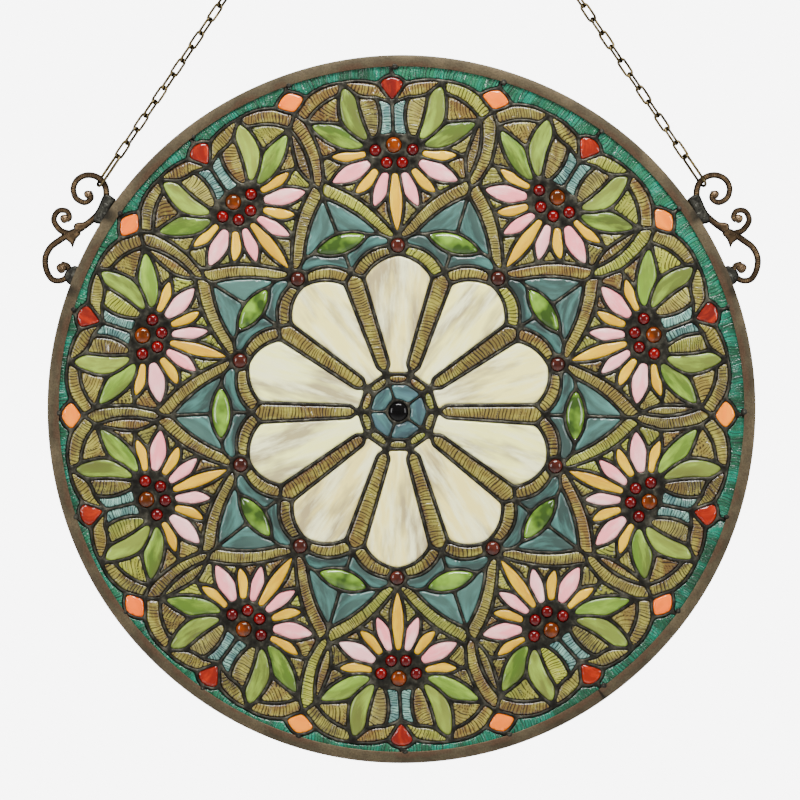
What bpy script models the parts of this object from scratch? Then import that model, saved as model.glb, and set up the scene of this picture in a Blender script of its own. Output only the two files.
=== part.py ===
"""Round leaded glass window panel, hung from two cast scrolls by two chains and one ring.

The panel stands in the XZ plane and faces -Y. The origin is the middle of the hanging ring.
The lead lines are drawn as a cartoon on squared paper, one tenth of the circle at a time.
"""
import math

import bpy
import numpy as np
from mathutils import Vector, geometry

# Rim, and how far below the ring the panel hangs
PANEL_RADIUS = 0.305
RIM_FACE = 0.0098
RIM_DEPTH = 0.008
RIM_WALL = 0.0014
RIM_SIDES = 40
HANG_HEIGHT = 0.581
GAP = 0.0003

# Glass and lead
GLASS_THICKNESS = 0.003
LEAD_WIDTH = 0.0031
LEAD_RISE = 0.0011
CENTRE_JEWEL_RADIUS = 0.0082
ROSETTE_JEWEL_RADIUS = 0.0060
AMBER_JEWEL_RADIUS = 0.0066
RED_JEWEL_RADIUS = 0.0048
ROUND_JEWEL_RISE = 0.0042
BERRY_RISE = 0.0034
BERRY_SIDES = 5
LONG_JEWEL_RISE = 0.0030

# The cartoon: squares of paper from the centre to the sight line, and how far the pattern
# stands off the rim's middle
PAPER_SQUARES = 343.0
TENTHS = 10
FIELD_SHIFT = (-0.0028, -0.0021)

# The pieces were set by hand, so each tenth stands a few squares round from its true place:
# at the rosette, at the flowers and at the border, for each tenth in turn
DRIFT_AT = (60.0, 168.0, 270.0, 325.0)
DRIFTS = ((0.0, -0.5, -4.7, -6.7), (0.0, 2.6, 2.8, -1.3), (0.0, 4.6, 6.0, 2.9),
          (0.0, 3.2, 8.2, 2.0), (0.0, 4.1, 4.7, -1.3), (0.0, 1.1, -0.7, -3.6),
          (0.0, 0.5, -2.9, -3.1), (0.0, -1.9, -6.1, -1.9), (0.0, -0.2, -6.7, -6.5),
          (0.0, -3.8, -10.5, -8.0))

# Cells of the net under this many squares of paper are left flat, with no dish of glass
SMALL_CELL = 95.0

# Scroll hangers: strips that end in curls, each round a button, and the solder on the rim
SCROLL_WIDTH = 0.0050
SCROLL_DEPTH = 0.0042
CURL_WIDTH = 0.0038
BUTTON_DEPTH = 0.0047
BUTTON_RADII = (0.0033, 0.0036, 0.0042)
SPUR_DEPTH = 0.0036
WELD_DEPTH = 0.0056
PLANE_STEP = 0.0001
SCROLL_LENGTH = 0.0958
HANGER_ANGLE = math.radians(146.0)
HANGER_STAND = 0.0020

# Chains and ring
CHAIN_WIRE = 0.0017
LINK_LENGTH = 0.0177
LINK_WIDTH = 0.0080
END_LINK_LENGTH = 0.0340
END_LINK_WIRE = 0.0022
END_LINK_TWIST = math.radians(30.0)
RING_RADIUS = 0.0130
RING_WIRE = 0.0032
RING_SIDES = 12
RING_WIRE_SIDES = 5
LINK_BEND = 0.8
CHAIN_ASIDE = 0.0039
CHAIN_RISE = 0.0250

# A link's wire has three corners: these shares of its thickness inwards, outwards and sideways
WIRE_IN = 0.55
WIRE_OUT = 0.28
WIRE_ASIDE = 0.48

TURN = 2.0 * math.pi / TENTHS
SIGHT_RADIUS = PANEL_RADIUS - RIM_FACE
SQUARE = SIGHT_RADIUS / PAPER_SQUARES
GROOVE_RADIUS = PANEL_RADIUS - RIM_WALL
FIELD_RADIUS = GROOVE_RADIUS * math.cos(math.pi / RIM_SIDES) - GAP
GLASS_BACK = GLASS_THICKNESS / 2
GLASS_FRONT = -GLASS_THICKNESS / 2
LEAD_FRONT = GLASS_FRONT - LEAD_RISE
ROSETTE_OUT = 166.5
DRAWN_LENGTH = 95.8
HANGER_PLACE = ((PANEL_RADIUS + HANGER_STAND) * math.cos(HANGER_ANGLE),
                (PANEL_RADIUS + HANGER_STAND) * math.sin(HANGER_ANGLE) - HANG_HEIGHT)


def clear_scene():
    """An empty scene to build in."""
    for old in list(bpy.data.objects):
        bpy.data.objects.remove(old, do_unlink=True)


def material(name, colour, roughness, metallic):
    """A plain finish for one kind of piece."""
    made = bpy.data.materials.new(name)
    made.use_nodes = True
    shader = made.node_tree.nodes["Principled BSDF"]
    shader.inputs["Base Color"].default_value = (*colour, 1.0)
    shader.inputs["Roughness"].default_value = roughness
    shader.inputs["Metallic"].default_value = metallic
    return made


def new_object(name, points, faces, finish):
    """A named object from points in world metres and their faces."""
    mesh = bpy.data.meshes.new(name)
    mesh.from_pydata([tuple(map(float, point)) for point in points], [], faces)
    mesh.materials.append(finish)
    made = bpy.data.objects.new(name, mesh)
    bpy.context.scene.collection.objects.link(made)
    return made


def fused(name, pieces, finish):
    """One body from overlapping closed pieces, given as pairs of points and faces."""
    body = new_object(name, *pieces[0], finish)
    for number, piece in enumerate(pieces[1:]):
        helper = new_object(f"{name}_piece_{number}", *piece, finish)
        join_or_cut(body, helper, "UNION")
    return body


def join_or_cut(body, helper, way):
    """The body with a helper joined on or cut out, and the helper removed."""
    step = body.modifiers.new(way, "BOOLEAN")
    step.operation = way
    step.solver = "EXACT"
    step.use_self = True
    step.object = helper
    bpy.context.view_layer.update()
    shape = bpy.data.meshes.new_from_object(body.evaluated_get(bpy.context.evaluated_depsgraph_get()))
    body.modifiers.clear()
    body.data = shape
    bpy.data.objects.remove(helper, do_unlink=True)


def tenth(x, y, turns):
    """A point x across and y out from the centre, so many tenths of a turn after the top."""
    out = math.hypot(x, y)
    place = math.atan2(x, y) / TURN + turns
    before = math.floor(place)
    near, far = (np.interp(out, DRIFT_AT, DRIFTS[k % TENTHS]) for k in (before, before + 1))
    drift = near + (far - near) * (place - before)
    angle = turns * TURN + (drift / out if out else 0.0)
    cosine, sine = math.cos(angle), math.sin(angle)
    return np.array((x * cosine + y * sine, y * cosine - x * sine))


def arc(start, end, bulge=0.0, steps=1):
    """Points on a shallow curve that stands bulge to the left of the straight way."""
    run = end - start
    left = np.array((-run[1], run[0])) / np.linalg.norm(run)
    share = np.linspace(0.0, 1.0, steps + 1)[:, None]
    return start + run * share + left * bulge * 4.0 * share * (1.0 - share)


def ways(points, *bends):
    """Curves from each point to the next, each bend a pair of bulge and steps."""
    bends = bends or ((0.0, 1),) * (len(points) - 1)
    return [arc(a, b, *bend) for a, b, bend in zip(points, points[1:], bends)]


def seat_radius(jewel_radius):
    """Squares from a round jewel's middle to the middle of the lead about it."""
    return (jewel_radius + GAP + LEAD_WIDTH / 2) / SQUARE


def centre_lines(k):
    """Ring of small tiles round the middle jewel, with five long joints between the blues."""
    radii = (seat_radius(CENTRE_JEWEL_RADIUS), 31.6, 41.0)
    jewel, blue, tile = [[tenth(0, r, k + h) for h in (-0.5, 0.5)] for r in radii]
    lines = [arc(*jewel), arc(*blue), arc(*tile), arc(blue[1], tile[1])]
    if k % 2:
        lines.append(arc(jewel[1], blue[1]))
    return lines


def side_points(k, side):
    """The points where a half of a tenth meets its neighbour, side 1 clockwise, -1 the other."""
    mirrored = {"spoke": (0, 41), "waist": (4.6, 47), "shoulder": (9.4, 138), "peak": (0, 146.5),
                "jewel_foot": (0, 166.7), "jewel_top": (0, 187.8), "jewel_tip": (28, 177.5),
                "apex": (0, 227), "stem": (0, 235)}
    knots = {1: {"fork": (-5, 243.5), "link": (-13.3, 264), "crown": (-10, 302.5),
                 "diamond": (-18, 327)},
             -1: {"fork": (6.5, 243.5), "link": (12, 264), "crown": (8, 303),
                  "diamond": (11.5, 327)}}
    points = {name: tenth(-side * x, y, k + side / 2) for name, (x, y) in mirrored.items()}
    points.update({name: tenth(x, y, k + side / 2) for name, (x, y) in knots[side].items()})
    points["foot"] = tenth(-2.5, 315, k + side / 2)
    points["top"] = tenth(-3.5, 338.5, k + side / 2)
    return points


def half_points(k, side):
    """The points inside a half of a tenth, which mirrors about the middle line."""
    seat = seat_radius(ROSETTE_JEWEL_RADIUS)
    slant = seat * math.sqrt(0.5)
    points = {"petal_top": (0, ROSETTE_OUT - seat), "low": (slant, ROSETTE_OUT - slant),
              "right": (seat, ROSETTE_OUT), "high": (slant, ROSETTE_OUT + slant),
              "rosette_top": (0, ROSETTE_OUT + seat), "wing": (17.5, 178.3),
              "tip2": (22.8, 202.2), "tip3": (41, 217.5), "tip4": (63.5, 229.5),
              "tip5": (64, 256.5), "fork1": (7.5, 217), "fork2": (21, 226.5),
              "fork3": (32.5, 233.5), "fork4": (46, 249), "fork5": (47, 262.5),
              "split": (40, 278.5), "base1": (4, 240.5), "base2": (13, 241.5),
              "base3": (20.5, 246.5), "base4": (25, 254.5), "base5": (25.5, 262.5),
              "base6": (23.5, 269.5), "base7": (15, 274.5), "base8": (9.5, 276.5),
              "base9": (0, 276.5), "fan_foot": (0, 309), "fan_side": (14, 329),
              "fan_top": (0, 337), "blue_top": (14.5, 315), "leaf_notch": (34, 318.5),
              "leaf_tip": (46.5, 330), "band_end": (47.5, 318.5)}
    return {name: tenth(side * x, y, k) for name, (x, y) in points.items()}


def half_lines(k, side):
    """All the lead lines of one half of a tenth."""
    points = side_points(k, side) | half_points(k, side)

    def way(names, *bends):
        return ways([points[name] for name in names.split()],
                    *((side * bulge, steps) for bulge, steps in bends))

    return (way("spoke waist shoulder peak")
            + way("shoulder petal_top", (-5, 2))
            + way("petal_top low right high rosette_top")
            + way("right peak", (7, 2))
            + way("high wing jewel_tip")
            + way("jewel_tip jewel_top", (2.6, 2))
            + way("jewel_tip jewel_foot", (-2.6, 2))
            + way("wing apex", (4, 2))
            + way("rosette_top tip2 tip3 tip4 fork stem")
            + way("base1 fork1 rosette_top", (0, 1), (2.4, 2))
            + way("fork1 tip2")
            + way("base2 fork2 tip2")
            + way("fork2 tip3")
            + way("base3 fork3 tip3")
            + way("fork3 tip4")
            + way("base4 fork4 tip4")
            + way("fork4 tip5")
            + way("base5 fork5 tip5 link")
            + way("fork5 crown", (-7, 2))
            + way("base6 split crown", (0, 1), (5.5, 2))
            + way("base7 leaf_notch leaf_tip", (5, 2), (0, 1))
            + way("split band_end leaf_tip", (-3.3, 2), (0, 1))
            + way("base8 blue_top", (4.8, 2))
            + way("fan_foot blue_top leaf_notch")
            + way("band_end crown")
            + way("fan_side leaf_tip diamond", (0, 1), (3.5, 2))
            + way("diamond foot")
            + way("diamond top")
            + way("fan_foot fan_side fan_top")
            + way("base1 base2 base3 base4 base5 base6 base7 base8 base9"))


def knot_lines(k):
    """The interlaced band and crescent that stand between one tenth and the next."""
    left, right = side_points(k, 1), side_points(k + 1, -1)
    return (ways([left["fork"], left["link"], left["crown"]], (1.3, 1), (2.5, 2))
            + ways([left["fork"], left["crown"], left["foot"]], (-5.5, 2), (0, 1))
            + ways([right["fork"], right["link"], right["crown"], left["foot"]],
                   (0, 1), (-2.8, 2), (0, 1)))


def middle_lines(k):
    """The joints that run straight out: teal pairs, blue crescents, and the border."""
    side, half, mirror = side_points(k, 1), half_points(k, 1), half_points(k, -1)
    return (ways([side["peak"], side["jewel_foot"]])
            + ways([side["jewel_top"], side["apex"], side["stem"]])
            + ways([mirror["base1"], half["base1"]])
            + ways([half["base9"], half["fan_foot"]])
            + [rim_joint(half["fan_top"]), rim_joint(side["top"])])


def edge_point(angle):
    """The point of the field's round edge at an angle seen from the cartoon's middle."""
    out = np.array((math.cos(angle), math.sin(angle)))
    shift = np.array(FIELD_SHIFT) / SQUARE
    along = float(out @ shift)
    return out * (math.sqrt(along ** 2 - shift @ shift + (FIELD_RADIUS / SQUARE) ** 2) - along)


def rim_joint(point):
    """A short joint from a point straight out to the edge of the field."""
    return np.array((point, edge_point(math.atan2(point[1], point[0]))))


def edge_lines():
    """The field's edge, with a corner at each joint and one between joints."""
    tops = [half_points(k, 1)["fan_top"] for k in range(TENTHS)]
    tops += [side_points(k, 1)["top"] for k in range(TENTHS)]
    angles = sorted(math.atan2(y, x) for x, y in tops)
    pairs = zip(angles, angles[1:] + [angles[0] + 2.0 * math.pi])
    return [np.array([edge_point(a) for a in np.linspace(*pair, 3)]) for pair in pairs]


def cartoon():
    """Every lead line of the field, each a row of points on the squared paper."""
    lines = edge_lines()
    for k in range(TENTHS):
        lines += centre_lines(k) + half_lines(k, 1) + half_lines(k, -1)
        lines += knot_lines(k) + middle_lines(k)
    return lines


def net(lines):
    """The corners of the lead net, and its cells as rings of corner numbers."""
    number, corners, edges = {}, [], set()
    for line in lines:
        row = []
        for point in line:
            key = tuple(np.round(point, 3).tolist())
            if key not in number:
                number[key] = len(corners)
                corners.append(Vector(key))
            row.append(number[key])
        edges |= {(min(pair), max(pair)) for pair in zip(row, row[1:])}
    found = geometry.delaunay_2d_cdt(corners, sorted(edges), [], 3, 1e-4)
    return np.array([tuple(v) for v in found[0]]), [list(cell) for cell in found[2]]


def inside(point, ring):
    """Whether a point lies in a ring of points, by counting the sides it is left of."""
    x, y = point
    following = np.roll(ring, -1, axis=0)
    spans = (ring[:, 1] > y) != (following[:, 1] > y)
    a, b = ring[spans], following[spans]
    cross_x = a[:, 0] + (y - a[:, 1]) * (b[:, 0] - a[:, 0]) / (b[:, 1] - a[:, 1])
    return int((cross_x > x).sum()) % 2 == 1


def area(ring):
    """The area inside a ring of points, positive when it runs anticlockwise."""
    following = np.roll(ring, -1, axis=0)
    return 0.5 * float((ring[:, 0] * following[:, 1] - following[:, 0] * ring[:, 1]).sum())


def shrunk(ring, by):
    """An anticlockwise ring with every side moved inwards by the same distance."""
    before, after = np.roll(ring, 1, axis=0), np.roll(ring, -1, axis=0)

    def inward(a, b):
        run = b - a
        return np.stack((-run[:, 1], run[:, 0]), 1) / np.linalg.norm(run, axis=1)[:, None]

    first, second = inward(before, ring), inward(ring, after)
    share = 1.0 + (first * second).sum(1)
    return ring + (first + second) * (by / np.maximum(share, 0.12))[:, None]


class Field:
    """The points and faces of the leaded field as it is put together."""

    def __init__(self):
        self.points, self.faces, self.holes = [], [], []

    def add(self, ring, depth):
        """A ring of paper points at one depth, and their numbers."""
        first = len(self.points)
        self.points += [on_panel(x, y, depth) for x, y in ring]
        return list(range(first, first + len(ring)))

    def band(self, outer, inner):
        """A strip of faces between two rings of numbers."""
        turns = zip(outer, outer[1:] + outer[:1], inner[1:] + inner[:1], inner)
        self.faces += [quad for quad in turns]


def on_panel(x, y, depth):
    """A point of the paper as a point in the room, at a depth behind the panel's middle."""
    return (x * SQUARE + FIELD_SHIFT[0], depth, y * SQUARE + FIELD_SHIFT[1] - HANG_HEIGHT)


def glass_dish(field, ring, cell):
    """A cell whose lead slopes down to the middle of its glass; the smallest are left flat."""
    if area(ring) < SMALL_CELL:
        flat_between(field, [(ring, cell)])
        return
    middle = field.add([ring.mean(axis=0)], GLASS_FRONT)[0]
    field.faces += [(a, b, middle) for a, b in zip(cell, cell[1:] + cell[:1])]


def pane_seat(field, ring, cell):
    """A cell open right through, for a pane or jewel of its own."""
    inner = shrunk(ring, LEAD_WIDTH / 2 / SQUARE)
    front, back = field.add(inner, GLASS_FRONT), field.add(inner, GLASS_BACK)
    field.band(cell, front)
    field.band(front, back)
    field.holes.append((inner, back))


def berry_ground(field, ring, cell, k):
    """The lead round a flower's five round jewels, and the jewels standing on it."""
    berries = [(0, 267, AMBER_JEWEL_RADIUS), (18, 262, RED_JEWEL_RADIUS),
               (-18, 262, RED_JEWEL_RADIUS), (7.5, 249.5, RED_JEWEL_RADIUS),
               (-7.5, 249.5, RED_JEWEL_RADIUS)]
    rings = [berry_ring(tenth(x, y, k), radius / SQUARE) for x, y, radius in berries]
    numbers = [field.add(berry, LEAD_FRONT) for berry in rings]
    flat_between(field, [(ring, cell)] + list(zip(rings, numbers)))
    for berry, foot in zip(rings, numbers):
        middle = berry.mean(axis=0)
        crown = field.add(middle + (berry - middle) * 0.6, LEAD_FRONT - BERRY_RISE)
        field.band(foot, crown)
        field.faces.append(crown)


def berry_ring(middle, radius):
    """The few-sided outline of one small round jewel."""
    angles = np.arange(BERRY_SIDES) * 2.0 * math.pi / BERRY_SIDES
    return middle + radius * np.stack((np.cos(angles), np.sin(angles)), 1)


def flat_between(field, rings, facing=1):
    """Flat faces that fill the first ring of points and leave the other rings open."""
    corners = [Vector(point) for ring, _ in rings for point in ring]
    numbers = [number for _, row in rings for number in row]
    edges, first = [], 0
    for ring, _ in rings:
        row = list(range(first, first + len(ring)))
        edges += zip(row, row[1:] + row[:1])
        first += len(ring)
    found = geometry.delaunay_2d_cdt(corners, edges, [], 1, 1e-6)
    for triangle in found[2]:
        middle = np.mean([tuple(found[0][i]) for i in triangle], axis=0)
        if not any(inside(middle, ring) for ring, _ in rings[1:]):
            field.faces.append([numbers[found[3][i][0]] for i in triangle][::facing])


def leaded_field(finish):
    """The whole net of lead with its smaller glass, and the outlines of the open seats."""
    corners, cells = net(cartoon())
    field = Field()
    field.add(corners, LEAD_FRONT)
    seats = {}
    for k in range(TENTHS):
        seats[f"petal_pane_{k + 1:02d}"] = tenth(0, 90, k)
        seats[f"long_jewel_{k + 1:02d}"] = tenth(0, 177, k + 0.5)
        seats[f"rosette_jewel_{k + 1:02d}"] = tenth(0, ROSETTE_OUT, k)
    seats["centre_jewel"] = np.zeros(2)
    grounds = [tenth(0, 258, k) for k in range(TENTHS)]
    outlines = {}
    for cell in cells:
        ring = corners[cell]
        if area(ring) < 0:
            ring, cell = ring[::-1], cell[::-1]
        name = next((name for name, seed in seats.items() if inside(seed, ring)), None)
        ground = next((k for k, seed in enumerate(grounds) if inside(seed, ring)), None)
        if name:
            pane_seat(field, ring, cell)
            outlines[name] = field.holes[-1][0]
        elif ground is not None:
            berry_ground(field, ring, cell, ground)
        else:
            glass_dish(field, ring, cell)
    close_back(field, corners)
    new_object("leaded_field", field.points, field.faces, finish)
    return outlines


def close_back(field, corners):
    """The field's round edge and its flat back, with the seats left open."""
    edge = np.concatenate([line[:-1] for line in edge_lines()])
    front = [int(np.argmin(((corners - point) ** 2).sum(1))) for point in edge]
    back = field.add(edge, GLASS_BACK)
    field.band(back, front)
    flat_between(field, [(edge, back)] + field.holes, -1)


def pane(name, outline, crown, finish):
    """A pane or jewel in its seat; crown lists pairs of a share of its size and a rise."""
    ring = shrunk(outline, GAP / SQUARE)
    middle = ring.mean(axis=0)
    body = Field()
    rows = [body.add(ring, GLASS_BACK), body.add(ring, GLASS_FRONT)]
    rows += [body.add(middle + (ring - middle) * share, GLASS_FRONT - rise)
             for share, rise in crown]
    for row, following in zip(rows, rows[1:]):
        body.band(row, following)
    body.faces += [rows[0][::-1], rows[-1]]
    new_object(name, body.points, body.faces, finish)


def rim_frame(finish):
    """A turned ring of channel section whose groove takes the field's edge."""
    face, groove = RIM_DEPTH / 2, -LEAD_FRONT + GAP
    profile = [(PANEL_RADIUS, -face), (PANEL_RADIUS, face), (SIGHT_RADIUS, face),
               (SIGHT_RADIUS, groove), (GROOVE_RADIUS, groove), (GROOVE_RADIUS, -groove),
               (SIGHT_RADIUS, -groove), (SIGHT_RADIUS, -face)]
    points, faces = [], []
    for step in range(RIM_SIDES):
        angle = step * 2.0 * math.pi / RIM_SIDES
        points += [(r * math.cos(angle), y, r * math.sin(angle) - HANG_HEIGHT) for r, y in profile]
    count = len(profile)
    for i in range(len(points)):
        row, place = divmod(i, count)
        beside = row * count + (place + 1) % count
        faces.append((i, beside, (beside + count) % len(points), (i + count) % len(points)))
    new_object("rim_frame", points, faces, finish)


def strip(path, width, end_width, depth):
    """A flat cast strip along a path in the panel's plane, from one width to another."""
    run = np.gradient(path, axis=0)
    side = np.stack((-run[:, 1], run[:, 0]), 1) / np.linalg.norm(run, axis=1)[:, None]
    half = np.linspace(width, end_width, len(path))[:, None] / 2
    left, right = path + side * half, path - side * half
    points, faces = [], []
    for a, b in zip(left, right):
        points += [(a[0], -depth / 2, a[1]), (b[0], -depth / 2, b[1]),
                   (b[0], depth / 2, b[1]), (a[0], depth / 2, a[1])]
    for i in range(len(path) - 1):
        for side_number in range(4):
            a, b = 4 * i + side_number, 4 * i + (side_number + 1) % 4
            faces.append((a, b, b + 4, a + 4))
    last = len(points) - 4
    return points, faces + [(3, 2, 1, 0), (last, last + 1, last + 2, last + 3)]


def button(middle, radius, depth, sides=6):
    """The small round button inside a curl, a little thicker than the strip."""
    angles = np.arange(sides) * 2.0 * math.pi / sides
    ring = np.array(middle) + radius * np.stack((np.cos(angles), np.sin(angles)), 1)
    return plate(ring, depth)


def plate(outline, depth):
    """A flat piece of the casting, cut to an anticlockwise outline in the panel's plane."""
    count = len(outline)
    points = [(x, -depth / 2, z) for x, z in outline] + [(x, depth / 2, z) for x, z in outline]
    faces = [(i + count, (i + 1) % count + count, (i + 1) % count, i) for i in range(count)]
    return points, faces + [tuple(range(count)), tuple(range(2 * count - 1, count - 1, -1))]


def drawn(*points):
    """Points of the hanger's drawing, in metres."""
    return np.array(points) * SCROLL_LENGTH / DRAWN_LENGTH


def scroll_strips():
    """The left hanger's stem, middle curl and lower curl, from where the stem meets the rim."""
    stem = drawn((-31.2, -21.1), (-22.5, -16.3), (-12.1, -8.6), (-4.5, -0.2), (0, 10.5),
                 (-1.0, 21.0), (-7.2, 28.0), (-16.2, 30.0), (-24.4, 26.4), (-28.2, 18.6),
                 (-25.8, 10.2), (-18.5, 6.4), (-12.9, 10.2), (-14.6, 16.2))
    middle = drawn((-31.2, -20.2), (-39.5, -17.4), (-45, -8.9), (-41.5, -1.2),
                   (-34.2, -0.9), (-31.4, -6.2), (-34.2, -9.6))
    lower = drawn((-28.6, -19.4), (-40.2, -26.2), (-48.8, -32.6), (-53.3, -42),
                  (-52, -52.4), (-46, -60), (-37.6, -60.4), (-32, -54.4),
                  (-33.2, -48.2), (-39, -46.5))
    return [strip(stem, SCROLL_WIDTH, CURL_WIDTH, SCROLL_DEPTH),
            strip(middle, CURL_WIDTH, CURL_WIDTH, SCROLL_DEPTH - 2 * PLANE_STEP),
            strip(lower, SCROLL_WIDTH, CURL_WIDTH, SCROLL_DEPTH - PLANE_STEP)]


def scroll_plates():
    """The left hanger's buttons, thorn, lobe and two lumps of solder, from the same place."""
    curls = drawn((-15.7, 13.4), (-35.9, -7.6), (-38.4, -50.1))
    thorn = drawn((-28.4, -33.3), (-35.3, -25.5), (-29.5, -17.5), (-25, -20.5))
    lobe = drawn((-27.5, -17), (-26.2, -12.1), (-19.5, -12), (-21.5, -16.5))
    top_weld = drawn((8.5, 8.5), (-2.0, -13.0), (-10.5, -8.5), (-2.6, 11.5))
    low_weld = drawn((-27, -66.0), (-22, -52.5), (-28, -50), (-34.5, -55.0), (-35, -59.5))
    buttons = [button(curl, radius, BUTTON_DEPTH) for curl, radius in zip(curls, BUTTON_RADII)]
    return buttons + [plate(thorn, SPUR_DEPTH), plate(lobe, SPUR_DEPTH - PLANE_STEP),
                      plate(top_weld, WELD_DEPTH), plate(low_weld, WELD_DEPTH - PLANE_STEP)]


def hanger(name, hand, finish):
    """A cast hanger of three curls, soldered to the rim; hand 1 is the left one."""
    placed = []
    for points, faces in scroll_strips() + scroll_plates():
        moved = [(hand * (x + HANGER_PLACE[0]), y, z + HANGER_PLACE[1]) for x, y, z in points]
        placed.append((moved, outward(moved, faces)))
    body = fused(name, placed, finish)
    join_or_cut(body, rim_cutter(finish), "DIFFERENCE")


def rim_cutter(finish):
    """A disc a gap larger than the rim, which shapes the solder to it."""
    reach = PANEL_RADIUS + GAP
    ring = [(reach * math.cos(i * 2 * math.pi / RIM_SIDES),
             reach * math.sin(i * 2 * math.pi / RIM_SIDES) - HANG_HEIGHT)
            for i in range(RIM_SIDES)]
    cutter = new_object("rim_cutter", *plate(np.array(ring), RIM_DEPTH * 2), finish)
    cutter.hide_render = True
    cutter.display_type = "WIRE"
    return cutter


class Body:
    """The numbered points and the faces of one body."""

    def __init__(self):
        self.points, self.faces = [], []

    def number(self, points):
        """Adds points and gives their numbers."""
        first = len(self.points)
        self.points += [np.array(point, float) for point in points]
        return list(range(first, first + len(points)))

    def turned(self, faces, way):
        """Adds faces, wound the other way when way is negative."""
        self.faces += [face if way > 0 else face[::-1] for face in faces]


def wire_section(body, place, outwards, normal, wire):
    """The three corners of a link's wire at a place on one of its sides."""
    wide = place + outwards * wire * WIRE_OUT
    return body.number([place - outwards * wire * WIRE_IN,
                        wide + normal * wire * WIRE_ASIDE, wide - normal * wire * WIRE_ASIDE])


def add_tip(body, pad, crown, sections, across, normal, end):
    """One bent end of a link, from the pad where it touches its neighbour to its two sides.

    crown is the pair of numbers of its outermost points; end is 1 at the upper end, else -1.
    """
    inner = []
    for side, section in zip((1, -1), sections):
        near = sorted(pad, key=lambda i: -side * float(body.points[i] @ across))[:2]
        near.sort(key=lambda i: -float(body.points[i] @ normal))
        body.turned([(crown[0], crown[1], section[2], section[1]),
                     (near[0], crown[0], section[1], section[0]),
                     (crown[1], near[1], section[0], section[2]),
                     (near[1], near[0], section[0])], side * end)
        inner.append(near)
    near, far = inner
    body.turned([(near[0], far[0], crown[0]), (far[1], near[1], crown[1])], end)


def add_link(body, pads, along, across, length, width, wire, straight=True):
    """A link between two pads, its length along and its width across.

    A link that isn't straight-sided is a lozenge, with one corner in the middle of each side.
    """
    normal = np.cross(along, across)
    middle = sum(body.points[i] for i in pads[0] + pads[1]) / 8
    reach = (width - wire) / 2
    rise = length / 2 - wire - reach * LINK_BEND if straight else 0.0
    rows = [[wire_section(body, middle + along * rise * end + across * reach * side,
                          across * side, normal, wire) for side in (1, -1)]
            for end in ((-1, 1) if straight else (1,))]
    low, high = rows[0], rows[-1]
    for end, pad, sections in ((-1, pads[0], low), (1, pads[1], high)):
        tip = middle + along * end * (length / 2 - wire * 0.1)
        crown = body.number([tip + normal * wire * 0.45, tip - normal * wire * 0.45])
        add_tip(body, pad, crown, sections, across, normal, end)
    if straight:
        for side, a, b in zip((1, -1), low, high):
            body.turned([(a[0], b[0], b[1], a[1]), (a[1], b[1], b[2], a[2]),
                         (a[2], b[2], b[0], a[0])], side)


def chain(name, hand, finish):
    """A chain of joined links from a hanger's top curl straight up to the ring."""
    bar = np.array((hand * (HANGER_PLACE[0] - CHAIN_ASIDE), 0.0, HANGER_PLACE[1] + CHAIN_RISE))
    along = -bar / np.linalg.norm(bar)
    through = np.array((0.0, 1.0, 0.0))
    in_plane = np.cross(along, through)
    room = (SCROLL_DEPTH / 2 + 2 * GAP + END_LINK_WIRE / 2) / math.cos(END_LINK_TWIST)
    across = through * math.cos(END_LINK_TWIST) + in_plane * math.sin(END_LINK_TWIST)
    start = SCROLL_WIDTH / 2 + room
    first = start - END_LINK_LENGTH + 2 * END_LINK_WIRE
    reach = float(np.linalg.norm(bar)) + first - RING_RADIUS + RING_WIRE / 2 + 2 * GAP
    inner = LINK_LENGTH - 2 * CHAIN_WIRE
    count = 2 * round(reach / inner / 2)
    pitch = reach / count
    body = Body()
    places = [-start] + [-first + pitch * number for number in range(count + 1)]
    pads = [add_pad(body, bar + along * place, in_plane, through) for place in places]
    add_link(body, pads[:2], along, across, END_LINK_LENGTH, 2 * room + END_LINK_WIRE,
             END_LINK_WIRE)
    for number in range(count):
        edge_on = number % 2 == 1
        add_link(body, pads[number + 1:number + 3], along, through if edge_on else in_plane,
                 pitch + 2 * CHAIN_WIRE, LINK_WIDTH, CHAIN_WIRE,
                 straight=not edge_on or number == count - 1)
    body.faces += [tuple(pads[0]), tuple(pads[-1])[::-1]]
    new_object(name, body.points, outward(body.points, body.faces), finish)


def add_pad(body, place, in_plane, through):
    """The small flat where two links bear on each other."""
    half = CHAIN_WIRE * 0.2
    return body.number([place + a * half * in_plane + b * half * through
                        for a, b in ((1, 1), (1, -1), (-1, -1), (-1, 1))])


def outward(points, faces):
    """The faces of a closed shape, turned as a whole if they point in."""
    volume = 0.0
    for face in faces:
        corners = [points[i] for i in face]
        for b, c in zip(corners[1:], corners[2:]):
            volume += float(np.dot(corners[0], np.cross(b, c)))
    return faces if volume > 0 else [face[::-1] for face in faces]


def hanging_ring(finish):
    """The ring that both chains hang from, about the origin."""
    points, faces = [], []
    for step in range(RING_SIDES):
        angle = step * 2.0 * math.pi / RING_SIDES
        for part in range(RING_WIRE_SIDES):
            turn = part * 2.0 * math.pi / RING_WIRE_SIDES
            reach = RING_RADIUS + RING_WIRE / 2 * math.cos(turn)
            points.append((reach * math.cos(angle), RING_WIRE / 2 * math.sin(turn),
                           reach * math.sin(angle)))
    for i in range(len(points)):
        row, place = divmod(i, RING_WIRE_SIDES)
        beside = row * RING_WIRE_SIDES + (place + 1) % RING_WIRE_SIDES
        following = i + RING_WIRE_SIDES, beside + RING_WIRE_SIDES
        faces.append((i, beside, following[1] % len(points), following[0] % len(points)))
    new_object("hanging_ring", points, faces, finish)


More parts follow.
